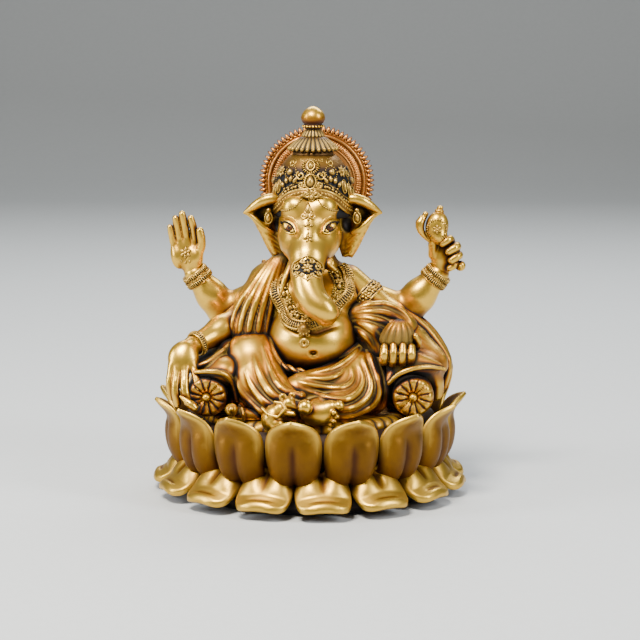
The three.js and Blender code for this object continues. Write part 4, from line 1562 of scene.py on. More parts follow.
def sculpt_small():
    pieces = [
        ("tassel_knot", tassel_shape(), 0.24, "gold_cloth", ["tassel"]),
        ("mouse", mouse_shape(), 0.22, "gold_skin", ["mouse"]),
        ("laddu", ball([-1.3, -39.6, 33.9], [2.35, 2.3, 2.35]), 0.3, "gold_skin", ["mouse_sweet"]),
        ("modak", pleated_sweet_shape(), 0.26, "gold_cloth", ["sweet"]),
        ("conch", conch_shape(), 0.28, "gold_skin", ["conch"]),
        (
            "conch_tail",
            union(
                [ball([48.2, 3.0, 71.6], [1.7, 1.5, 1.7]), ball([48.2, 1.5, 71.6], [0.6, 0.5, 0.6])],
                0.2,
            ),
            0.28,
            "gold_skin",
            ["conch_tip"],
        ),
        ("broken_tusk", broken_tusk_shape(), 0.24, "gold_skin", ["broken_tusk"]),
    ]
    for name, shape, voxel, slot, nodes in pieces:
        finish_piece(sculpt(name, shape, voxel), slot, *nodes)


sculpt_small()


# ---- Ornament: parts that are used again and again -------------------------------------------------
def lay_on(shape, points, lift=0.0):
    """Points moved to a given height above the surface of a shape, and the outward directions."""
    points = np.array(points, float)
    for _ in range(4):
        outward = slope(shape, points)
        points = points - outward * np.clip(shape(points) - lift, -1.5, 1.5)[:, None]
    return points, slope(shape, points)


def front_line(shape, spots, count, lift=0.0):
    """A smooth line on the front of a shape through [x, z] spots, and the outward directions."""
    return lay_on(shape, in_front(shape, smooth_line(spots, count)), lift)


def spot_in_front(shape, x, z, lift=0.0):
    """One spot on the front of a shape, lifted off it, and the outward direction there."""
    places, outwards = lay_on(shape, in_front(shape, [[x, z]]), lift)
    return places[0], outwards[0]


def beads_along(heap, line, outward, radius, spacing, height=None, shift=0.0):
    """A row of round beads. shift moves the row sideways on the surface."""
    length = lengths_along(line)
    wanted = np.linspace(0, length[-1], max(2, int(round(length[-1] / spacing)) + 1))
    across = unit_rows(np.cross(line_ways(line), outward))
    places = at_lengths(line + across * shift, length, wanted)
    facings = at_lengths(outward, length, wanted)
    for place, facing in zip(places, facings):
        add_stud(heap, place, facing, radius, height or radius, sides=8)


def dressed_band(heap, line, outward, width, thickness=0.5, rim=0.28, ribs=0.0, closed=False, wash=0.8):
    """A ribbon with a raised line along both edges and, if asked, fine ribs across it."""
    line, outward = np.asarray(line, float), np.asarray(outward, float)
    across = unit_rows(np.cross(line_ways(line, closed), outward))
    # The ribbon between its raised edges is darkened as wash and painted shade, and the raised edges are
    # brightened as wear and painted highlight.
    add_tube(heap, line, width / 2, 10, closed, 2 * thickness / width, outward, wash=wash, edge=0)
    for side in (-1, 1):
        edge = line + across * side * width / 2 + outward * thickness * 0.35
        add_tube(heap, edge, rim, 8, closed, 1.0, outward, edge=0.7)
    if ribs <= 0:
        return
    length = lengths_along(line)
    for place in np.arange(0, length[-1], ribs):
        middle, face, way = (at_lengths(rows, length, place) for rows in (line, outward, across))
        start = middle - way * width * 0.46 + face * thickness * 0.8
        end = middle + way * width * 0.46 + face * thickness * 0.8
        add_tube(
            heap,
            [start, (start + end) / 2 + face * 0.15, end],
            0.17,
            6,
            False,
            1.0,
            face,
            edge=0.55,
        )


def add_scroll(heap, centre, outward, radius, turns=1.2, start=0.0, hand=1, thick=0.32, up=(0, 0, 1)):
    """A spiral scroll lying on a surface. hand is 1 or -1, start is in degrees from across."""
    across, rise, face = frame_at(outward, up)
    angles = np.radians(start) + hand * np.linspace(0, turns * 2 * math.pi, int(16 * turns) + 4)
    reach = np.linspace(radius, radius * 0.25, len(angles))
    line = np.asarray(centre) + np.outer(
        reach * np.cos(angles), across,
    ) + np.outer(reach * np.sin(angles), rise)
    radii = thick * np.linspace(0.75, 1.15, len(angles))
    add_tube(heap, line + face * 0.12, radii, 7, False, 1.0, face, edge=0.5)


def add_flower(heap, centre, outward, radius, petals=6, up=(0, 0, 1)):
    """A round flower: a ring of pointed petals about a domed middle."""
    across, rise, face = frame_at(outward, up)
    for way in ways_round(petals, across, rise, 0.5):
        add_stud(heap, centre + way * radius * 0.6, face, radius * 0.34, radius * 0.3, 1.4, 0.3, way, 8)
    add_stud(heap, centre + face * radius * 0.12, face, radius * 0.36, radius * 0.36, sides=8)


def add_jewel(heap, centre, outward, width, height, up=(0, 0, 1), point=0.0):
    """An oval cabochon in a raised rim."""
    across, rise, face = frame_at(outward, up)
    angles = circle(20)
    ring = np.asarray(centre) + np.outer(np.cos(angles) * width * 0.62, across)
    ring = ring + np.outer(
        np.sin(angles) * height * 0.60 + point * np.maximum(np.sin(angles), 0) * 0.4,
        rise,
    )
    add_tube(heap, ring + face * 0.1, width * 0.12, 6, True, 1.0, face, edge=0.6)
    add_stud(heap, centre, face, width / 2, width * 0.52, height / width, point, up, 12)


def add_turned_on(heap, profile, centre, outward, wash=0.3, edge=0.0, sides=64, up=(0, 0, 1)):
    """A turned solid whose axis points outward from a centre."""
    points, faces = revolved(profile, sides)
    heap.add(np.asarray(centre) + points @ frame_at(outward, up), faces, wash, edge)


def add_fluted(heap, centre, profile, flutes, sides_per_flute=8, shade=None):
    """A solid turned about the vertical through a centre, from [radius, height, flute depth] rows.

    shade, if given, holds [height, wash] pairs for a wash and painted shade over the whole surface by
    height; the valleys between the flutes are darkened further as painted shade and the ridges brightened
    as painted highlight.
    """
    shade = shade or [[0, 0.12]]
    sides = flutes * sides_per_flute
    angles = circle(sides)
    ridge = np.abs(np.sin(flutes * angles / 2)) ** 0.8
    points, washes, edges = [], [], []
    for radius, height, depth in profile:
        reach = radius - depth * (1 - ridge)
        points.append(
            np.column_stack(
                [
                    centre[0] + reach * np.cos(angles), centre[1] + reach * np.sin(angles),
                    np.full(sides, height),
                ],
            ),
        )
        deep = min(depth * 2.2, 1.0)
        base = np.interp(height, [row[0] for row in shade], [row[1] for row in shade])
        washes.append(base + 1.3 * deep * (1 - ridge))
        edges.append(0.9 * deep * ridge**3)
    heap.add(
        np.vstack(points), loft_faces(len(profile), sides), np.concatenate(washes),
        np.concatenate(edges),
    )


# ---- Crown ---------------------------------------------------------------------------------------
CROWN_AXIS = [1.0, 3.5]
CROWN_FACES = -4.0  # the crown's front is turned this many degrees to the figure's right
DOME_PROFILE = [
    [11.6, 87.6], [12.2, 91.0], [12.3, 95.4], [11.8, 99.0], [10.7, 102.6], [9.0, 105.4], [6.6, 107.4],
]
RIM_HEIGHTS = [
    [0, 96.2], [13, 96.1], [28, 95.3], [42, 93.7], [54, 91.6], [75, 89.9], [110, 88.9], [180, 88.5],
]


RIM_SPREAD = 142  # degrees that the rim reaches on each side of the front
RIM_COUNT = 130


def on_crown(angle, height, lift=0.0):
    """A point on the dome and its outward direction; the angle is in degrees from the front."""
    turn = math.radians(angle + CROWN_FACES)
    heights = [row[1] for row in DOME_PROFILE]
    radii = [row[0] for row in DOME_PROFILE]
    radius = np.interp(height, heights, radii)
    lean = (np.interp(height - 0.4, heights, radii) - np.interp(height + 0.4, heights, radii)) / 0.8
    outward = np.array([math.sin(turn), -math.cos(turn), lean])
    outward /= np.linalg.norm(outward)
    place = np.array(
        [CROWN_AXIS[0] + radius * math.sin(turn), CROWN_AXIS[1] - radius * math.cos(turn), height],
    )
    return place + outward * lift, outward


def crown_line(heights, spread, count, rise=0.0, lift=0.0):
    """A line round the crown whose height depends on the angle from the front."""
    knots = smooth_line(heights, 60)
    places, outwards = [], []
    for angle in np.linspace(-spread, spread, count):
        place, outward = on_crown(angle, np.interp(abs(angle), knots[:, 0], knots[:, 1]) + rise, lift)
        places.append(place)
        outwards.append(outward)
    return np.array(places), np.array(outwards)


def make_crown_dome():
    heap = Heap()
    outline = smooth_line([[0.05, 87.6], *DOME_PROFILE, [0.05, 107.6]], 40)
    points, faces = revolved(outline, 96)
    # Painted shade: the dome is darker towards the bottom, behind the diadem, and lighter towards the
    # top.
    shade = np.clip(0.85 - np.clip(points[:, 2] - 101.0, 0, 4) * 0.17, 0.2, 0.85)
    heap.add(points + [*CROWN_AXIS, 0], faces, shade)
    for side in (-1, 1):
        for angle, height, size, turns in (
            (40, 105.2, 1.5, 1.3), (22, 106.1, 1.0, 1.1), (78, 101.6, 1.9, 1.4), (104, 97.5, 1.9, 1.3),
            (84, 96.0, 1.5, 1.2),
        ):
            place, outward = on_crown(side * angle, height)
            add_scroll(heap, place, outward, size, turns, 90, side, 0.2)
    heap.build("crown_dome_cap", "gold_ornament", "crown_dome")


def add_crown_rim(heap):
    """The scalloped rim above the brow, with the bead rows that follow it."""
    rim, outward = crown_line(RIM_HEIGHTS, RIM_SPREAD, RIM_COUNT, lift=0.35)
    dressed_band(heap, rim, outward, 2.1, 0.8, 0.42, wash=0.2)
    for rise, lift, radius, spacing in (
        (0, 0.8, 0.5, 1.25), (2.25, 0.1, 0.58, 1.35), (3.35, 0.1, 0.22, 0.56),
    ):
        beads, facing = crown_line(RIM_HEIGHTS, RIM_SPREAD, RIM_COUNT, rise, lift)
        beads_along(heap, beads, facing, radius, spacing)


def add_front_jewels(heap):
    """Two jewels one above the other: the upper ringed with petals and the lower with beads."""
    for height, width in ((104.3, 1.9), (99.5, 2.7)):
        place, facing = on_crown(0, height, 0.5)
        add_jewel(heap, place, facing, width, width * 1.45, point=0.2)
        across, rise, face = frame_at(facing)
        for way in ways_round(22, across, rise):
            if height > 102:
                add_stud(heap, place + way * 2.35 - face * 0.45, face, 0.26, 0.5, 2.6, 0.4, way, 6)
            else:
                oval = way * 2.2 + rise * 0.5 * (way @ rise)
                add_stud(heap, place + oval - face * 0.4, face, 0.3, 0.4)


def add_crown_side(heap, side):
    """The scrolls, ringed studs, flowers, leaves and jewels of one side of the crown."""
    for angle, height, size, start, hand in ((16, 101.4, 1.5, 60, -1), (13.5, 98.6, 1.05, 200, 1)):
        place, facing = on_crown(side * angle, height, 0.25)
        start = start if side > 0 else 180 - start
        add_scroll(heap, place, facing, size, 1.25, start, side * hand, 0.36)
    for angle, height, radius in ((36, 102.3, 1.15), (84, 99.0, 1.2), (116, 96.4, 1.2)):
        place, facing = on_crown(side * angle, height, 0.3)
        add_stud(heap, place, facing, radius, radius, sides=14)
        for t in circle(16):
            spot = on_crown(side * angle + 11 * math.cos(t), height + 1.9 * math.sin(t), 0.15)[0]
            add_stud(heap, spot, facing, 0.28, 0.3, sides=6)
    for angle, height in ((59, 102.3), (100, 101.5)):
        place, facing = on_crown(side * angle, height, 0.2)
        add_flower(heap, place, facing, 1.8, 7)
    for angle, height, lean in ((24, 99.8, -0.5), (31.5, 100.2, 0.0), (39.5, 99.6, 0.5), (46, 98.4, 0.8)):
        place, facing = on_crown(side * angle, height, 0.35)
        leaf_up = np.array([0, 0, 1]) + frame_at(facing)[0] * side * lean
        add_stud(heap, place, facing, 0.72, 0.85, 1.55, 0.35, leaf_up, 10)
    for angle in (26, 34.5, 42):
        place, facing = on_crown(side * angle, 97.9 - 0.05 * (angle - 26), 0.25)
        add_stud(heap, place, facing, 0.42, 0.5)
    for angle, height in ((57, 97.6), (70, 96.4), (96, 94.6), (124, 93.4)):
        place, facing = on_crown(side * angle, height, 0.3)
        add_jewel(heap, place, facing, 1.7, 3.3, point=0.5)


def add_brow_jewel(heap):
    """The small jewel between two scrolls in the middle of the rim."""
    place, facing = on_crown(2, 95.7, 1.0)
    across, rise, face = frame_at(facing)
    for side in (-1, 1):
        add_scroll(heap, place + across * side * 1.5, face, 1.2, 1.3, 90, side, 0.42)
        spot = place + across * side * 2.9 - rise * 0.3
        add_stud(heap, spot, face, 0.45, 0.5, 1.5, 0.3, across * side)
    add_jewel(heap, place - rise * 0.9, face, 1.5, 2.0, point=0.3)
    add_stud(heap, place + rise * 0.9, face, 0.62, 0.6)


def make_diadem():
    heap = Heap()
    add_crown_rim(heap)
    add_front_jewels(heap)
    add_crown_side(heap, -1)
    add_crown_side(heap, 1)
    add_brow_jewel(heap)
    heap.build("crown_diadem", "gold_ornament", "crown_band")


PARASOL_FLUTES = 26


def crown_spot(way, radius, height):
    """A point at a distance from the crown's axis."""
    return np.array([*CROWN_AXIS, height]) + way * radius


def make_crown_top():
    """The fluted parasol tiers and the bulb above them."""
    heap = Heap()
    add_fluted(
        heap,
        CROWN_AXIS,
        [
            [0.05, 107.0, 0], [6.1, 107.0, 0], [6.55, 107.4, 0], [6.55, 107.9, 0], [6.0, 108.3, 0],
            [5.9, 108.8, 0], [6.9, 108.9, 0.3], [7.75, 109.1, 0.9], [7.8, 109.5, 0.9],
            [7.3, 110.3, 0.75], [6.3, 111.2, 0.55], [5.2, 112.0, 0.35], [4.5, 112.6, 0.1],
            [4.0, 112.9, 0], [3.5, 113.0, 0], [0.05, 113.2, 0],
        ],
        PARASOL_FLUTES,
        shade=[[0, 0.34]],
    )
    for way in ways_round(PARASOL_FLUTES, (1, 0, 0), (0, 1, 0), 0.5):
        add_stud(heap, crown_spot(way, 7.2, 109.2), way + [0, 0, 0.3], 0.62, 1.0, 1.3, 0.2)
    add_fluted(heap, CROWN_AXIS, [
        [0.05, 112.6, 0], [3.2, 112.9, 0.3], [3.75, 113.1, 0.6], [3.7, 113.5, 0.6], [3.1, 114.4, 0.4],
        [2.4, 115.2, 0.2], [2.2, 115.6, 0], [0.05, 115.8, 0],
    ], 18, shade=[[0, 0.34]])
    heap.build("crown_parasol_tiers", "gold_ornament", "crown_parasol")
    heap = Heap()
    add_fluted(
        heap,
        CROWN_AXIS,
        [
            [0.05, 115.4, 0], [2.6, 115.5, 0], [3.1, 115.8, 0], [3.2, 116.3, 0], [2.9, 116.8, 0],
            [2.75, 117.0, 0], [3.3, 117.4, 0], [3.75, 118.2, 0], [3.85, 119.1, 0], [3.6, 120.1, 0],
            [2.9, 121.1, 0], [1.9, 121.9, 0], [0.9, 122.4, 0], [0.05, 122.6, 0],
        ],
        8,
        # Painted shade: the bulb is darker towards the bottom.
        shade=[[115, 0.8], [117.2, 0.75], [118.4, 0.45], [119.6, 0.15], [122.6, 0.05]],
    )
    for way in ways_round(20, (1, 0, 0), (0, 1, 0)):
        add_stud(heap, crown_spot(way, 3.1, 116.3), way, 0.42, 0.5)
    heap.build("crown_finial_bulb", "gold_skin", "crown_finial")


# ---- Halo ----------------------------------------------------------------------------------------
HALO_CENTRE = np.array([2.1, 15.2, 97.2])
HALO_RAYS = 72
HALO_RIBS = 116
HALO_FRONT = (0, -1, 0)


def halo_way(angle):
    return np.array([math.cos(angle), 0, math.sin(angle)])


def halo_ring(heap, radius, thick, squash=1.0, lift=0.0, edge=0.5):
    ring = [HALO_CENTRE + halo_way(a) * radius - [0, lift, 0] for a in circle(120)]
    add_tube(heap, ring, thick, 10, True, squash, HALO_FRONT, edge=edge)


def make_halo():
    """The ribbed disc behind the crown, and the ring of double rays round it."""
    heap = Heap()
    face = [
        [0.05, 1.2], [4, 1.15], [9, 1.0], [11.8, 0.8], [12.3, 0.55], [15.4, 0.5], [15.4, -0.8],
        [12, -1.5], [6, -2.0], [0.05, -2.2],
    ]
    add_turned_on(heap, face[::-1], HALO_CENTRE, HALO_FRONT, 0.12, 0, 96)
    for i in range(HALO_RIBS):
        way = halo_way(2 * math.pi * i / HALO_RIBS)
        line = [HALO_CENTRE + way * r - [0, 0.62, 0] for r in (12.5, 14.5)]
        add_tube(heap, line, 0.19, 6, False, 1.6, HALO_FRONT, edge=0.45)
    halo_ring(heap, 12.25, 0.34, 1.0, 0.7, 0.5)
    heap.build("halo_disc", "halo_copper", "halo_plate")
    heap = Heap()
    halo_ring(heap, 15.3, 0.62, 0.9, 0.45, 0.45)
    halo_ring(heap, 16.25, 0.5, 1.0, 0.2, 0.3)
    add_turned_on(
        heap,
        [[15.0, -0.8], [17.3, -0.7], [17.4, 0.3], [15.0, 0.35]],
        HALO_CENTRE,
        HALO_FRONT,
        0.7,
        0,
        96,
    )
    for i in range(HALO_RAYS):
        way = halo_way(2 * math.pi * (i + 0.5) / HALO_RAYS)
        for depth, facing in ((0.1, -1), (-0.5, 1)):
            add_stud(
                heap,
                HALO_CENTRE + way * 17.2 - [0, depth, 0],
                (0, facing, 0),
                0.78,
                1.05,
                1.5,
                0.6,
                way,
                8,
            )
    heap.build("halo_rays", "halo_copper", "halo_rim")


# ---- Bands round the limbs -----------------------------------------------------------------------
def ring_round(shape, start, end, share, shift, count=40):
    """A closed line round a limb at a share of its length, on its surface, with outward directions."""
    start, end = np.array(start[:3], float), np.array(end[:3], float)
    axis = (end - start) / np.linalg.norm(end - start)
    centre = start + (end - start) * share + axis * shift
    side, rise, _ = frame_at(axis, (0, 0.3, 1))
    rays = ways_round(count, side, rise)
    points = centre + rays * 3.0
    for _ in range(5):
        gap = shape(points)
        points = points - rays * gap[:, None]
    return points, rays


def make_bangles():
    """Ribbed bands at the wrists; the raised arms wear two with beads between them."""
    wear = [
        ("rear_right_bangle", REAR_RIGHT["elbow"], REAR_RIGHT["wrist"], 0.93, [-1.1, 1.1]),
        ("rear_left_bangle", REAR_LEFT["elbow"], REAR_LEFT["wrist"], 0.93, [-1.1, 1.1]),
        ("front_right_bangle", FRONT_RIGHT["elbow"], FRONT_RIGHT["wrist"], 0.93, [0.0]),
    ]
    for node, start, end, share, shifts in wear:
        arm = limb([start, end])
        heap = Heap()
        for shift in shifts:
            ring, outward = ring_round(arm, start, end, share, shift)
            dressed_band(heap, ring + outward * 0.35, outward, 1.7, 0.55, 0.3, 0.62, True)
        if len(shifts) > 1:
            ring, outward = ring_round(arm, start, end, share, 0)
            ring, outward = np.vstack([ring, ring[:1]]), np.vstack([outward, outward[:1]])
            beads_along(heap, ring + outward * 0.75, outward, 0.36, 0.8)
        heap.build(f"{node}_band", "gold_ornament", node)


ARMLET_SHARE = 0.45


def make_armlet():
    """Two thin bands with a ring of flowers between them, on the left upper arm."""
    arm = limb([SHOULDER_LEFT, FRONT_LEFT["elbow"]])
    heap = Heap()
    for shift in (-1.5, 1.5):
        ring, outward = ring_round(arm, SHOULDER_LEFT, FRONT_LEFT["elbow"], ARMLET_SHARE, shift, 56)
        dressed_band(heap, ring + outward * 0.2, outward, 0.9, 0.35, 0.3, 0, True)
    ring, outward = ring_round(arm, SHOULDER_LEFT, FRONT_LEFT["elbow"], ARMLET_SHARE, 0, 12)
    for spot, facing in zip(ring, outward):
        add_flower(heap, spot + facing * 0.35, facing, 1.7, 6)
    heap.build("armlet_left_band", "gold_ornament", "armlet_left")


# ---- Face ----------------------------------------------------------------------------------------
LID_LINE_SCALE = [0.86, 0.80]  # the dark lines inside the lids, as a share of the lids
UPPER_LID = [[4.0, 84.0], [4.6, 85.9], [5.8, 87.1], [7.4, 87.5], [9.0, 86.8]]
LOWER_LID = [[4.0, 84.0], [5.8, 83.6], [7.6, 84.5], [9.0, 86.8]]
BROW = [[3.6, 86.9], [5.1, 88.3], [7.1, 88.9], [9.1, 88.0]]
SWAG = [[2.0, 94.8], [3.6, 93.0], [5.5, 91.5], [7.4, 90.7], [9.4, 90.6]]


def face_line(side, spots, count=16, lift=0.0):
    return front_line(HEAD, [[FACE_MIDDLE + side * x, z] for x, z in spots], count, lift)


def add_eye(heap, side):
    """One eye: eyeball, iris, pupil and glint, the dark lines inside the lids, the lids and the brow."""
    tilt = math.radians(EYE_TILT)
    slant = [side * math.cos(tilt), 0, math.sin(tilt)]
    eye, facing = spot_in_front(HEAD, FACE_MIDDLE + side * EYE_PLACE[0], EYE_PLACE[1], -0.15)
    facing = facing * 0.6 + np.array([0, -1, 0]) * 0.4
    add_stud(heap, eye, facing, 1.5, 0.75, 1.75, 0.0, slant, 20, wash=0.12)
    iris = eye + np.array([0, -0.55, -0.05])
    glint = iris + facing * 0.36 + np.array([0.35, 0, 0.4])
    add_stud(heap, iris, facing, 1.36, 0.34, sides=20, wash=0.66)
    add_stud(heap, iris + facing * 0.2, facing, 0.66, 0.2, sides=14, wash=1.0)
    add_stud(heap, glint, facing, 0.2, 0.1, sides=8, wash=0.0)
    for spots, thick in ((UPPER_LID, 0.42), (LOWER_LID, 0.22)):
        inner = np.array(EYE_PLACE) + (np.array(spots) - EYE_PLACE) * LID_LINE_SCALE
        line, out = face_line(side, inner, 18, 0.42)
        add_tube(heap, line, thick, 6, False, 1.0, out, wash=1.0, edge=0)
    for spots, thick in ((UPPER_LID, 0.46), (LOWER_LID, 0.32)):
        line, out = face_line(side, spots, 18, 0.30)
        taper = thick * (0.45 + 0.55 * np.sin(np.pi * np.linspace(0.04, 0.96, 18)))
        add_tube(heap, line, taper, 8, False, 1.0, out, edge=0.35)
    line, out = face_line(side, BROW, 16, 0.02)
    taper = 0.34 * np.sin(np.pi * np.linspace(0.08, 0.92, 16))
    add_tube(heap, line, taper, 8, False, 0.7, out, edge=0.2)


def add_forehead_mark(heap):
    """A drop, scrolls and leaves down the middle of the brow, with a flower at the foot."""

    def on_brow(x, z):
        return spot_in_front(HEAD, FACE_MIDDLE - 0.4 + x, z, 0.1)

    add_stud(heap, *on_brow(0, 91.2), 1.1, 0.8, 1.5, 0.8, sides=14)
    for side in (-1, 1):
        add_scroll(heap, *on_brow(side * 1.35, 89.2), 1.15, 1.3, 90, side, 0.38)
        add_stud(heap, *on_brow(side * 0.85, 90.3), 0.4, 0.4, 1.8, 0.3, [side * 0.8, 0, 1])
        add_stud(heap, *on_brow(side * 0.95, 86.4), 0.42, 0.4, 1.7, 0.4, [side, 0, 0.5])
    for height, radius, stretch in (
        (89.6, 0.55, 1.0), (88.3, 0.5, 1.3), (87.1, 0.62, 1.5), (85.6, 0.48, 1.6),
    ):
        add_stud(heap, *on_brow(0, height), radius, 0.5, stretch, 0.4, (0, 0, -1))
    add_flower(heap, *on_brow(0, 82.8), 1.5, 5)
    add_stud(heap, *on_brow(0, 84.3), 0.36, 0.4, 1.5, 0.5)


def make_face():
    eyes, mark = Heap(), Heap()
    for side in (-1, 1):
        add_eye(eyes, side)
        line, out = face_line(side, SWAG, 26, 0.05)
        beads_along(mark, line, out, 0.36, 0.74)
    eyes.build("eyes", "gold_skin")
    add_forehead_mark(mark)
    mark.build("forehead_mark", "gold_ornament", "forehead_ornament")


TRUNK_BAND_MIDDLE = -0.7


def make_trunk_band():
    """The scalloped ornament across the root of the trunk, with scrolls, studs and a flower."""
    face = union([HEAD, TRUNK], 1.0)
    heap = Heap()

    def at(x, z, lift):
        return spot_in_front(face, TRUNK_BAND_MIDDLE + x, z, lift)

    outline = [
        [-5.4, 73.6], [-4.9, 75.4], [-2.8, 76.9], [-0.6, 77.8], [1.6, 76.9], [3.7, 75.2], [4.2, 73.4],
    ]
    lower = [
        [-5.4, 73.6], [-4.6, 71.6], [-2.8, 72.2], [-0.8, 71.0], [1.0, 72.0], [3.0, 71.4], [4.2, 73.4],
    ]
    for spots in (outline, lower):
        line, out = front_line(face, spots, 34, 0.1)
        add_tube(heap, line, 0.34, 8, False, 1.0, out, edge=0.6)
    for spots, reach in (([[-4.6, 73.4], [-2.6, 73.5], [-0.6, 73.6], [1.4, 73.5], [3.4, 73.3]], 3.0),
                         ([[-3.2, 75.2], [-1.8, 75.8], [-0.6, 76.0], [0.8, 75.8], [2.2, 75.2]], 2.2)):
        line, out = front_line(face, spots, 12, -0.05)
        add_tube(heap, line, reach / 2, 10, False, 0.28, out, wash=0.75, edge=0)
    add_flower(heap, *at(0, 74.2, 0.35), 1.7, 7)
    for side in (-1, 1):
        for x, z, size, start, hand in (
            (1.3, 76.2, 0.85, 200, 1), (2.9, 74.4, 1.25, 90, -1), (3.2, 72.4, 0.85, -60, 1),
            (1.35, 72.3, 0.6, 60, -1),
        ):
            start = start if side > 0 else 180 - start
            add_scroll(heap, *at(side * x, z, 0.3), size, 1.3, start, side * hand, 0.3)
        for x, z, radius in ((4.1, 73.6, 0.5), (2.1, 75.8, 0.42), (2.3, 73.0, 0.36)):
            add_stud(heap, *at(side * x, z, 0.25), radius, radius)
    for z, radius in ((77.1, 0.5), (75.9, 0.4), (71.9, 0.5), (70.9, 0.42)):
        add_stud(heap, *at(0, z, 0.2), radius, radius, 1.3, 0.3)
    ring, outward = ring_round(strand(TRUNK_LINE, 26), [-0.9, -17.4, 72.6], [-0.9, -19.6, 69.6], 0, 0, 40)
    dressed_band(heap, ring + outward * 0.15, outward, 0.8, 0.35, 0.26, 0, True)
    heap.build("trunk_ornament", "gold_ornament", "trunk_band")


# ---- Necklaces -----------------------------------------------------------------------------------
NECKLACE = [
    [-10, 0, 74.6], [-11.6, -5, 70.0], [-11.6, -11, 64.2], [-10.0, -15, 60.2], [-7.0, -18, 57.6],
    [-3.0, -19, 56.3], [0.8, -19, 56.4], [5.0, -17, 58.0], [9.2, -14, 61.0], [12.6, -10, 64.4],
    [13.4, -5, 69.6], [12.0, -1, 74.6],
]
GARLAND = [
    [-8.4, -5, 72.6], [-8.8, -9, 68.0], [-7.8, -13, 63.4], [-5.0, -16.4, 60.0], [-1.0, -17.6, 58.6],
    [3.6, -17, 59.6], [7.6, -14, 62.8], [9.4, -9, 67.4], [9.0, -5, 72.6],
]


def make_necklace():
    """The beaded band of the necklace, and the garland of flowers inside it."""
    heap = Heap()
    line, out = lay_on(TORSO, smooth_line(NECKLACE, 110), 0.35)
    dressed_band(heap, line, out, 2.7, 0.7, 0.34, 0.75)
    beads_along(heap, line + out * 0.45, out, 0.42, 0.95, 0.55, 0.62)
    beads_along(heap, line + out * 0.1, out, 0.36, 0.9, 0.4, -1.75)
    beads_along(heap, line + out * 0.05, out, 0.26, 0.62, 0.3, 1.75)
    heap.build("necklace_band", "gold_ornament", "necklace")
    heap = Heap()
    line, out = lay_on(TORSO, smooth_line(GARLAND, 80), 0.5)
    flowers = along_line(line, 2.5)
    facing = slope(TORSO, flowers)
    for i, (spot, face) in enumerate(zip(flowers, facing)):
        if i % 2:
            add_flower(heap, spot, face, 1.5, 6)
        else:
            add_stud(heap, spot, face, 0.95, 1.1, 1.2, 0.2, sides=7)
    for shift in (-1.5, 1.5):
        beads_along(heap, line - out * 0.3, out, 0.34, 0.85, 0.4, shift)
    heap.build("garland_beads", "gold_ornament", "garland")


def make_pendant():
    """A domed disc ringed with beads, over a small hoop."""
    heap = Heap()
    places, outs = front_line(TORSO, [[-1.3, 53.6], [-1.5, 50.4]], 2, 1.2)
    add_turned_on(
        heap,
        [
            [0.05, -1.0], [2.0, -0.8], [2.15, 0], [1.8, 0.5], [1.3, 0.6], [1.2, 1.2], [0.7, 1.6],
            [0.05, 1.7],
        ],
        places[0],
        outs[0],
        0.25,
        0.25,
        28,
    )
    across, rise, face = frame_at(outs[0])
    for way in ways_round(12, across, rise):
        add_stud(heap, places[0] + way * 1.95 + face * 0.2, face, 0.4, 0.4)
    across, rise, face = frame_at(outs[1])
    ring = places[1] + ways_round(24, across, rise)
    add_tube(heap, ring, 0.68, 10, True, 1.0, face, edge=0.4)
    for side in (-1, 1):
        add_scroll(heap, places[0] + across * side * 1.3 - rise * 1.9, face, 0.6, 1.1, 90, side, 0.28)
    heap.build("pendant_drop", "gold_ornament", "pendant")


def make_earrings():
    for side, node in ((-1, "earring_right"), (1, "earring_left")):
        heap = Heap()
        place = [EAR_MIDDLE + side * 14.0, -1.6, 87.5]
        add_jewel(heap, place, (side * 0.2, -1, 0), 1.9, 2.9, point=0.3)
        add_stud(heap, [place[0], place[1] - 0.2, 90.0], (0, -1, 0), 0.75, 0.7)
        add_tube(
            heap,
            [[place[0], -0.2, 89.6], [place[0], 0.8, 88.6], [place[0] - side, 1.6, 87.5]],
            0.9,
            10,
            wash=0.4,
        )
        heap.build(f"{node}_drop", "gold_ornament", node)


# ---- Hand ornaments, bolster buttons and seat ----------------------------------------------
def make_hand_marks():
    """The flower and three studs on the raised palm, and the ring and flower on the conch."""
    heap = Heap()
    palm = blessing_hand()
    add_flower(heap, *spot_in_front(palm, -39.9, 75.6, 0.05), 1.9, 6)
    for i, drop in enumerate((0, 0.3, 0)):
        add_stud(heap, *spot_in_front(palm, -41.2 + 1.3 * i, 72.9 - drop), 0.4, 0.35, 1.3, 0.3)
    heap.build("palm_flower", "gold_ornament")
    heap = Heap()
    shell = conch_shape()
    x, z = 40.5, 83.6
    for angle in np.linspace(math.radians(-60), math.radians(225), 22):
        way = np.array([3.0 * math.cos(angle), 0, 3.2 * math.sin(angle)])
        spot = spot_in_front(shell, x + way[0], z + way[2])
        add_stud(heap, *spot, 0.3, 0.45, 2.2, 0.2, way / np.linalg.norm(way), 6)
    add_flower(heap, *spot_in_front(shell, x, z, 0.1), 1.5, 6)
    heap.build("conch_ring", "gold_ornament")


def make_buttons():
    for name in ("right", "left"):
        node = f"bolster_{name}_button"
        heap = Heap()
        low, high = corner_mm(node, 0), corner_mm(node, 1)
        centre = (low + high) / 2
        radius = (high[2] - low[2]) / 2
        add_turned_on(
            heap,
            [
                [0.05, -1.4], [radius, -1.2], [radius, 0.1], [radius * 0.85, 0.7],
                [radius * 0.45, 1.05], [0.05, 1.15],
            ],
            [centre[0], low[1] + 1.2, centre[2]],
            (0, -1, 0),
            0.1,
            0.2,
            24,
        )
        heap.build(f"{node}_cap", "gold_skin", node)


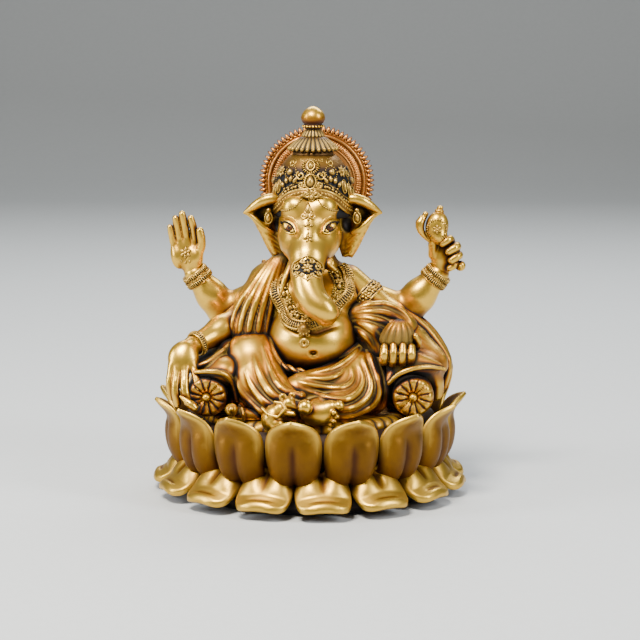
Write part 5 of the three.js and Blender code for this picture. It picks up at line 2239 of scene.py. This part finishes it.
def make_seat():
    """The lotus's seed head under the figure: a disc with fine radial ridges at its edge."""
    heap = Heap()
    low, high = corner_mm("seat_disc", 0), corner_mm("seat_disc", 1)
    reach = (high[0] - low[0]) / 2
    add_fluted(
        heap,
        [0, 0],
        [
            [0.05, low[2], 0], [reach - 0.5, low[2], 0], [reach, low[2] + 1.0, 0.3],
            [reach - 0.6, high[2] - 0.4, 0.5], [reach - 2.4, high[2] + 0.3, 0.35],
            [reach - 5.5, high[2] + 0.1, 0.2], [reach - 9, high[2], 0.05], [0.05, high[2], 0],
        ],
        60,
        6,
        [[0, 0.12]],
    )
    heap.build("seat_top", "gold_skin", "seat_disc")


make_crown_dome()
make_diadem()
make_crown_top()
make_halo()
make_bangles()
make_armlet()
make_face()
make_trunk_band()
make_necklace()
make_pendant()
make_earrings()
make_hand_marks()
make_buttons()
make_seat()


# ---- CAD nodes that keep their own shape ---------------------------------------------------------
def paint_kept_nodes():
    slots = {entry["node"]: entry["material_slot"] for entry in frame["record"]["subparts"]}
    for name, node in frame["nodes"].items():
        if "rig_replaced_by" in node or node.hide_render:
            continue
        node.data.materials.clear()
        node.data.materials.append(MATERIALS[slots[name]])


wash_sculptures()
paint_kept_nodes()


# ---- Camera, floor and light ---------------------------------------------------------------------
AIM = Vector((3.2, -0.7, 54.6)) * MM
VIEW_ELEVATION = math.radians(9)
CAMERA_DISTANCE = 0.700


def make_camera():
    data = bpy.data.cameras.new("camera")
    data.lens = 123
    data.sensor_width = 36
    data.clip_start = 0.01
    camera = bpy.data.objects.new("camera", data)
    back = Vector((0, -math.cos(VIEW_ELEVATION), math.sin(VIEW_ELEVATION)))
    camera.location = AIM + back * CAMERA_DISTANCE
    camera.rotation_euler = (-back).to_track_quat("-Z", "Y").to_euler()
    bpy.context.scene.collection.objects.link(camera)
    bpy.context.scene.camera = camera


def make_floor():
    """A pale floor that curves up into a backdrop far behind the figure."""
    half_width, front, bend, radius, top = 2.5, -1.6, 0.9, 0.5, 1.6
    arc = np.linspace(0, math.pi / 2, 12)
    side_line = [[front, 0.0]]
    side_line += [[bend + radius * math.sin(a), radius * (1 - math.cos(a))] for a in arc]
    side_line.append([bend + radius, top])
    points, faces = [], []
    for y, z in side_line:
        points += [[-half_width / MM, y / MM, z / MM], [half_width / MM, y / MM, z / MM]]
    for i in range(len(side_line) - 1):
        faces.append([2 * i, 2 * i + 1, 2 * i + 3, 2 * i + 2])
    floor = mesh_object("floor", np.array(points), faces)
    material, tree, shader = new_material("floor")
    place = add_node(tree, "ShaderNodeTexCoord").outputs["Object"]
    grain = add_node(tree, "ShaderNodeTexNoise", {"Vector": place, "Scale": 300.0})
    shade = ramp(tree, grain.outputs["Fac"], [(0, (0.42, 0.43, 0.435)), (1, (0.45, 0.46, 0.465))])
    tree.links.new(shade, shader.inputs["Base Color"])
    shader.inputs["Roughness"].default_value = 0.8
    floor.data.materials.append(material)


def area_light(name, place, size, power, colour=(1, 1, 1)):
    data = bpy.data.lights.new(name, "AREA")
    data.shape = "RECTANGLE"
    data.size, data.size_y = size
    data.energy = power
    data.color = colour
    light = bpy.data.objects.new(name, data)
    light.location = place
    target = Vector((0, 0, 0.06))
    light.rotation_euler = (target - Vector(place)).to_track_quat("-Z", "Y").to_euler()
    bpy.context.scene.collection.objects.link(light)


def make_light():
    """A soft key light, two fills, a back light and a dim sky."""
    world = bpy.data.worlds.new("studio")
    bpy.context.scene.world = world
    world.use_nodes = True
    world.node_tree.nodes["Background"].inputs["Color"].default_value = (0.76, 0.86, 0.92, 1)
    world.node_tree.nodes["Background"].inputs["Strength"].default_value = 0.22
    area_light("key", (-0.18, -0.34, 0.66), (0.26, 0.18), 14.0, (1, 0.95, 0.85))
    area_light("fill", (0.50, -0.30, 0.36), (0.12, 0.36), 4.4, (0.94, 0.97, 1))
    area_light("side", (-0.55, -0.16, 0.28), (0.12, 0.36), 4.0, (0.94, 0.97, 1))
    area_light("back", (0.10, 0.50, 0.60), (0.7, 0.30), 7.5, (0.92, 0.97, 1))


make_camera()
make_floor()
make_light()
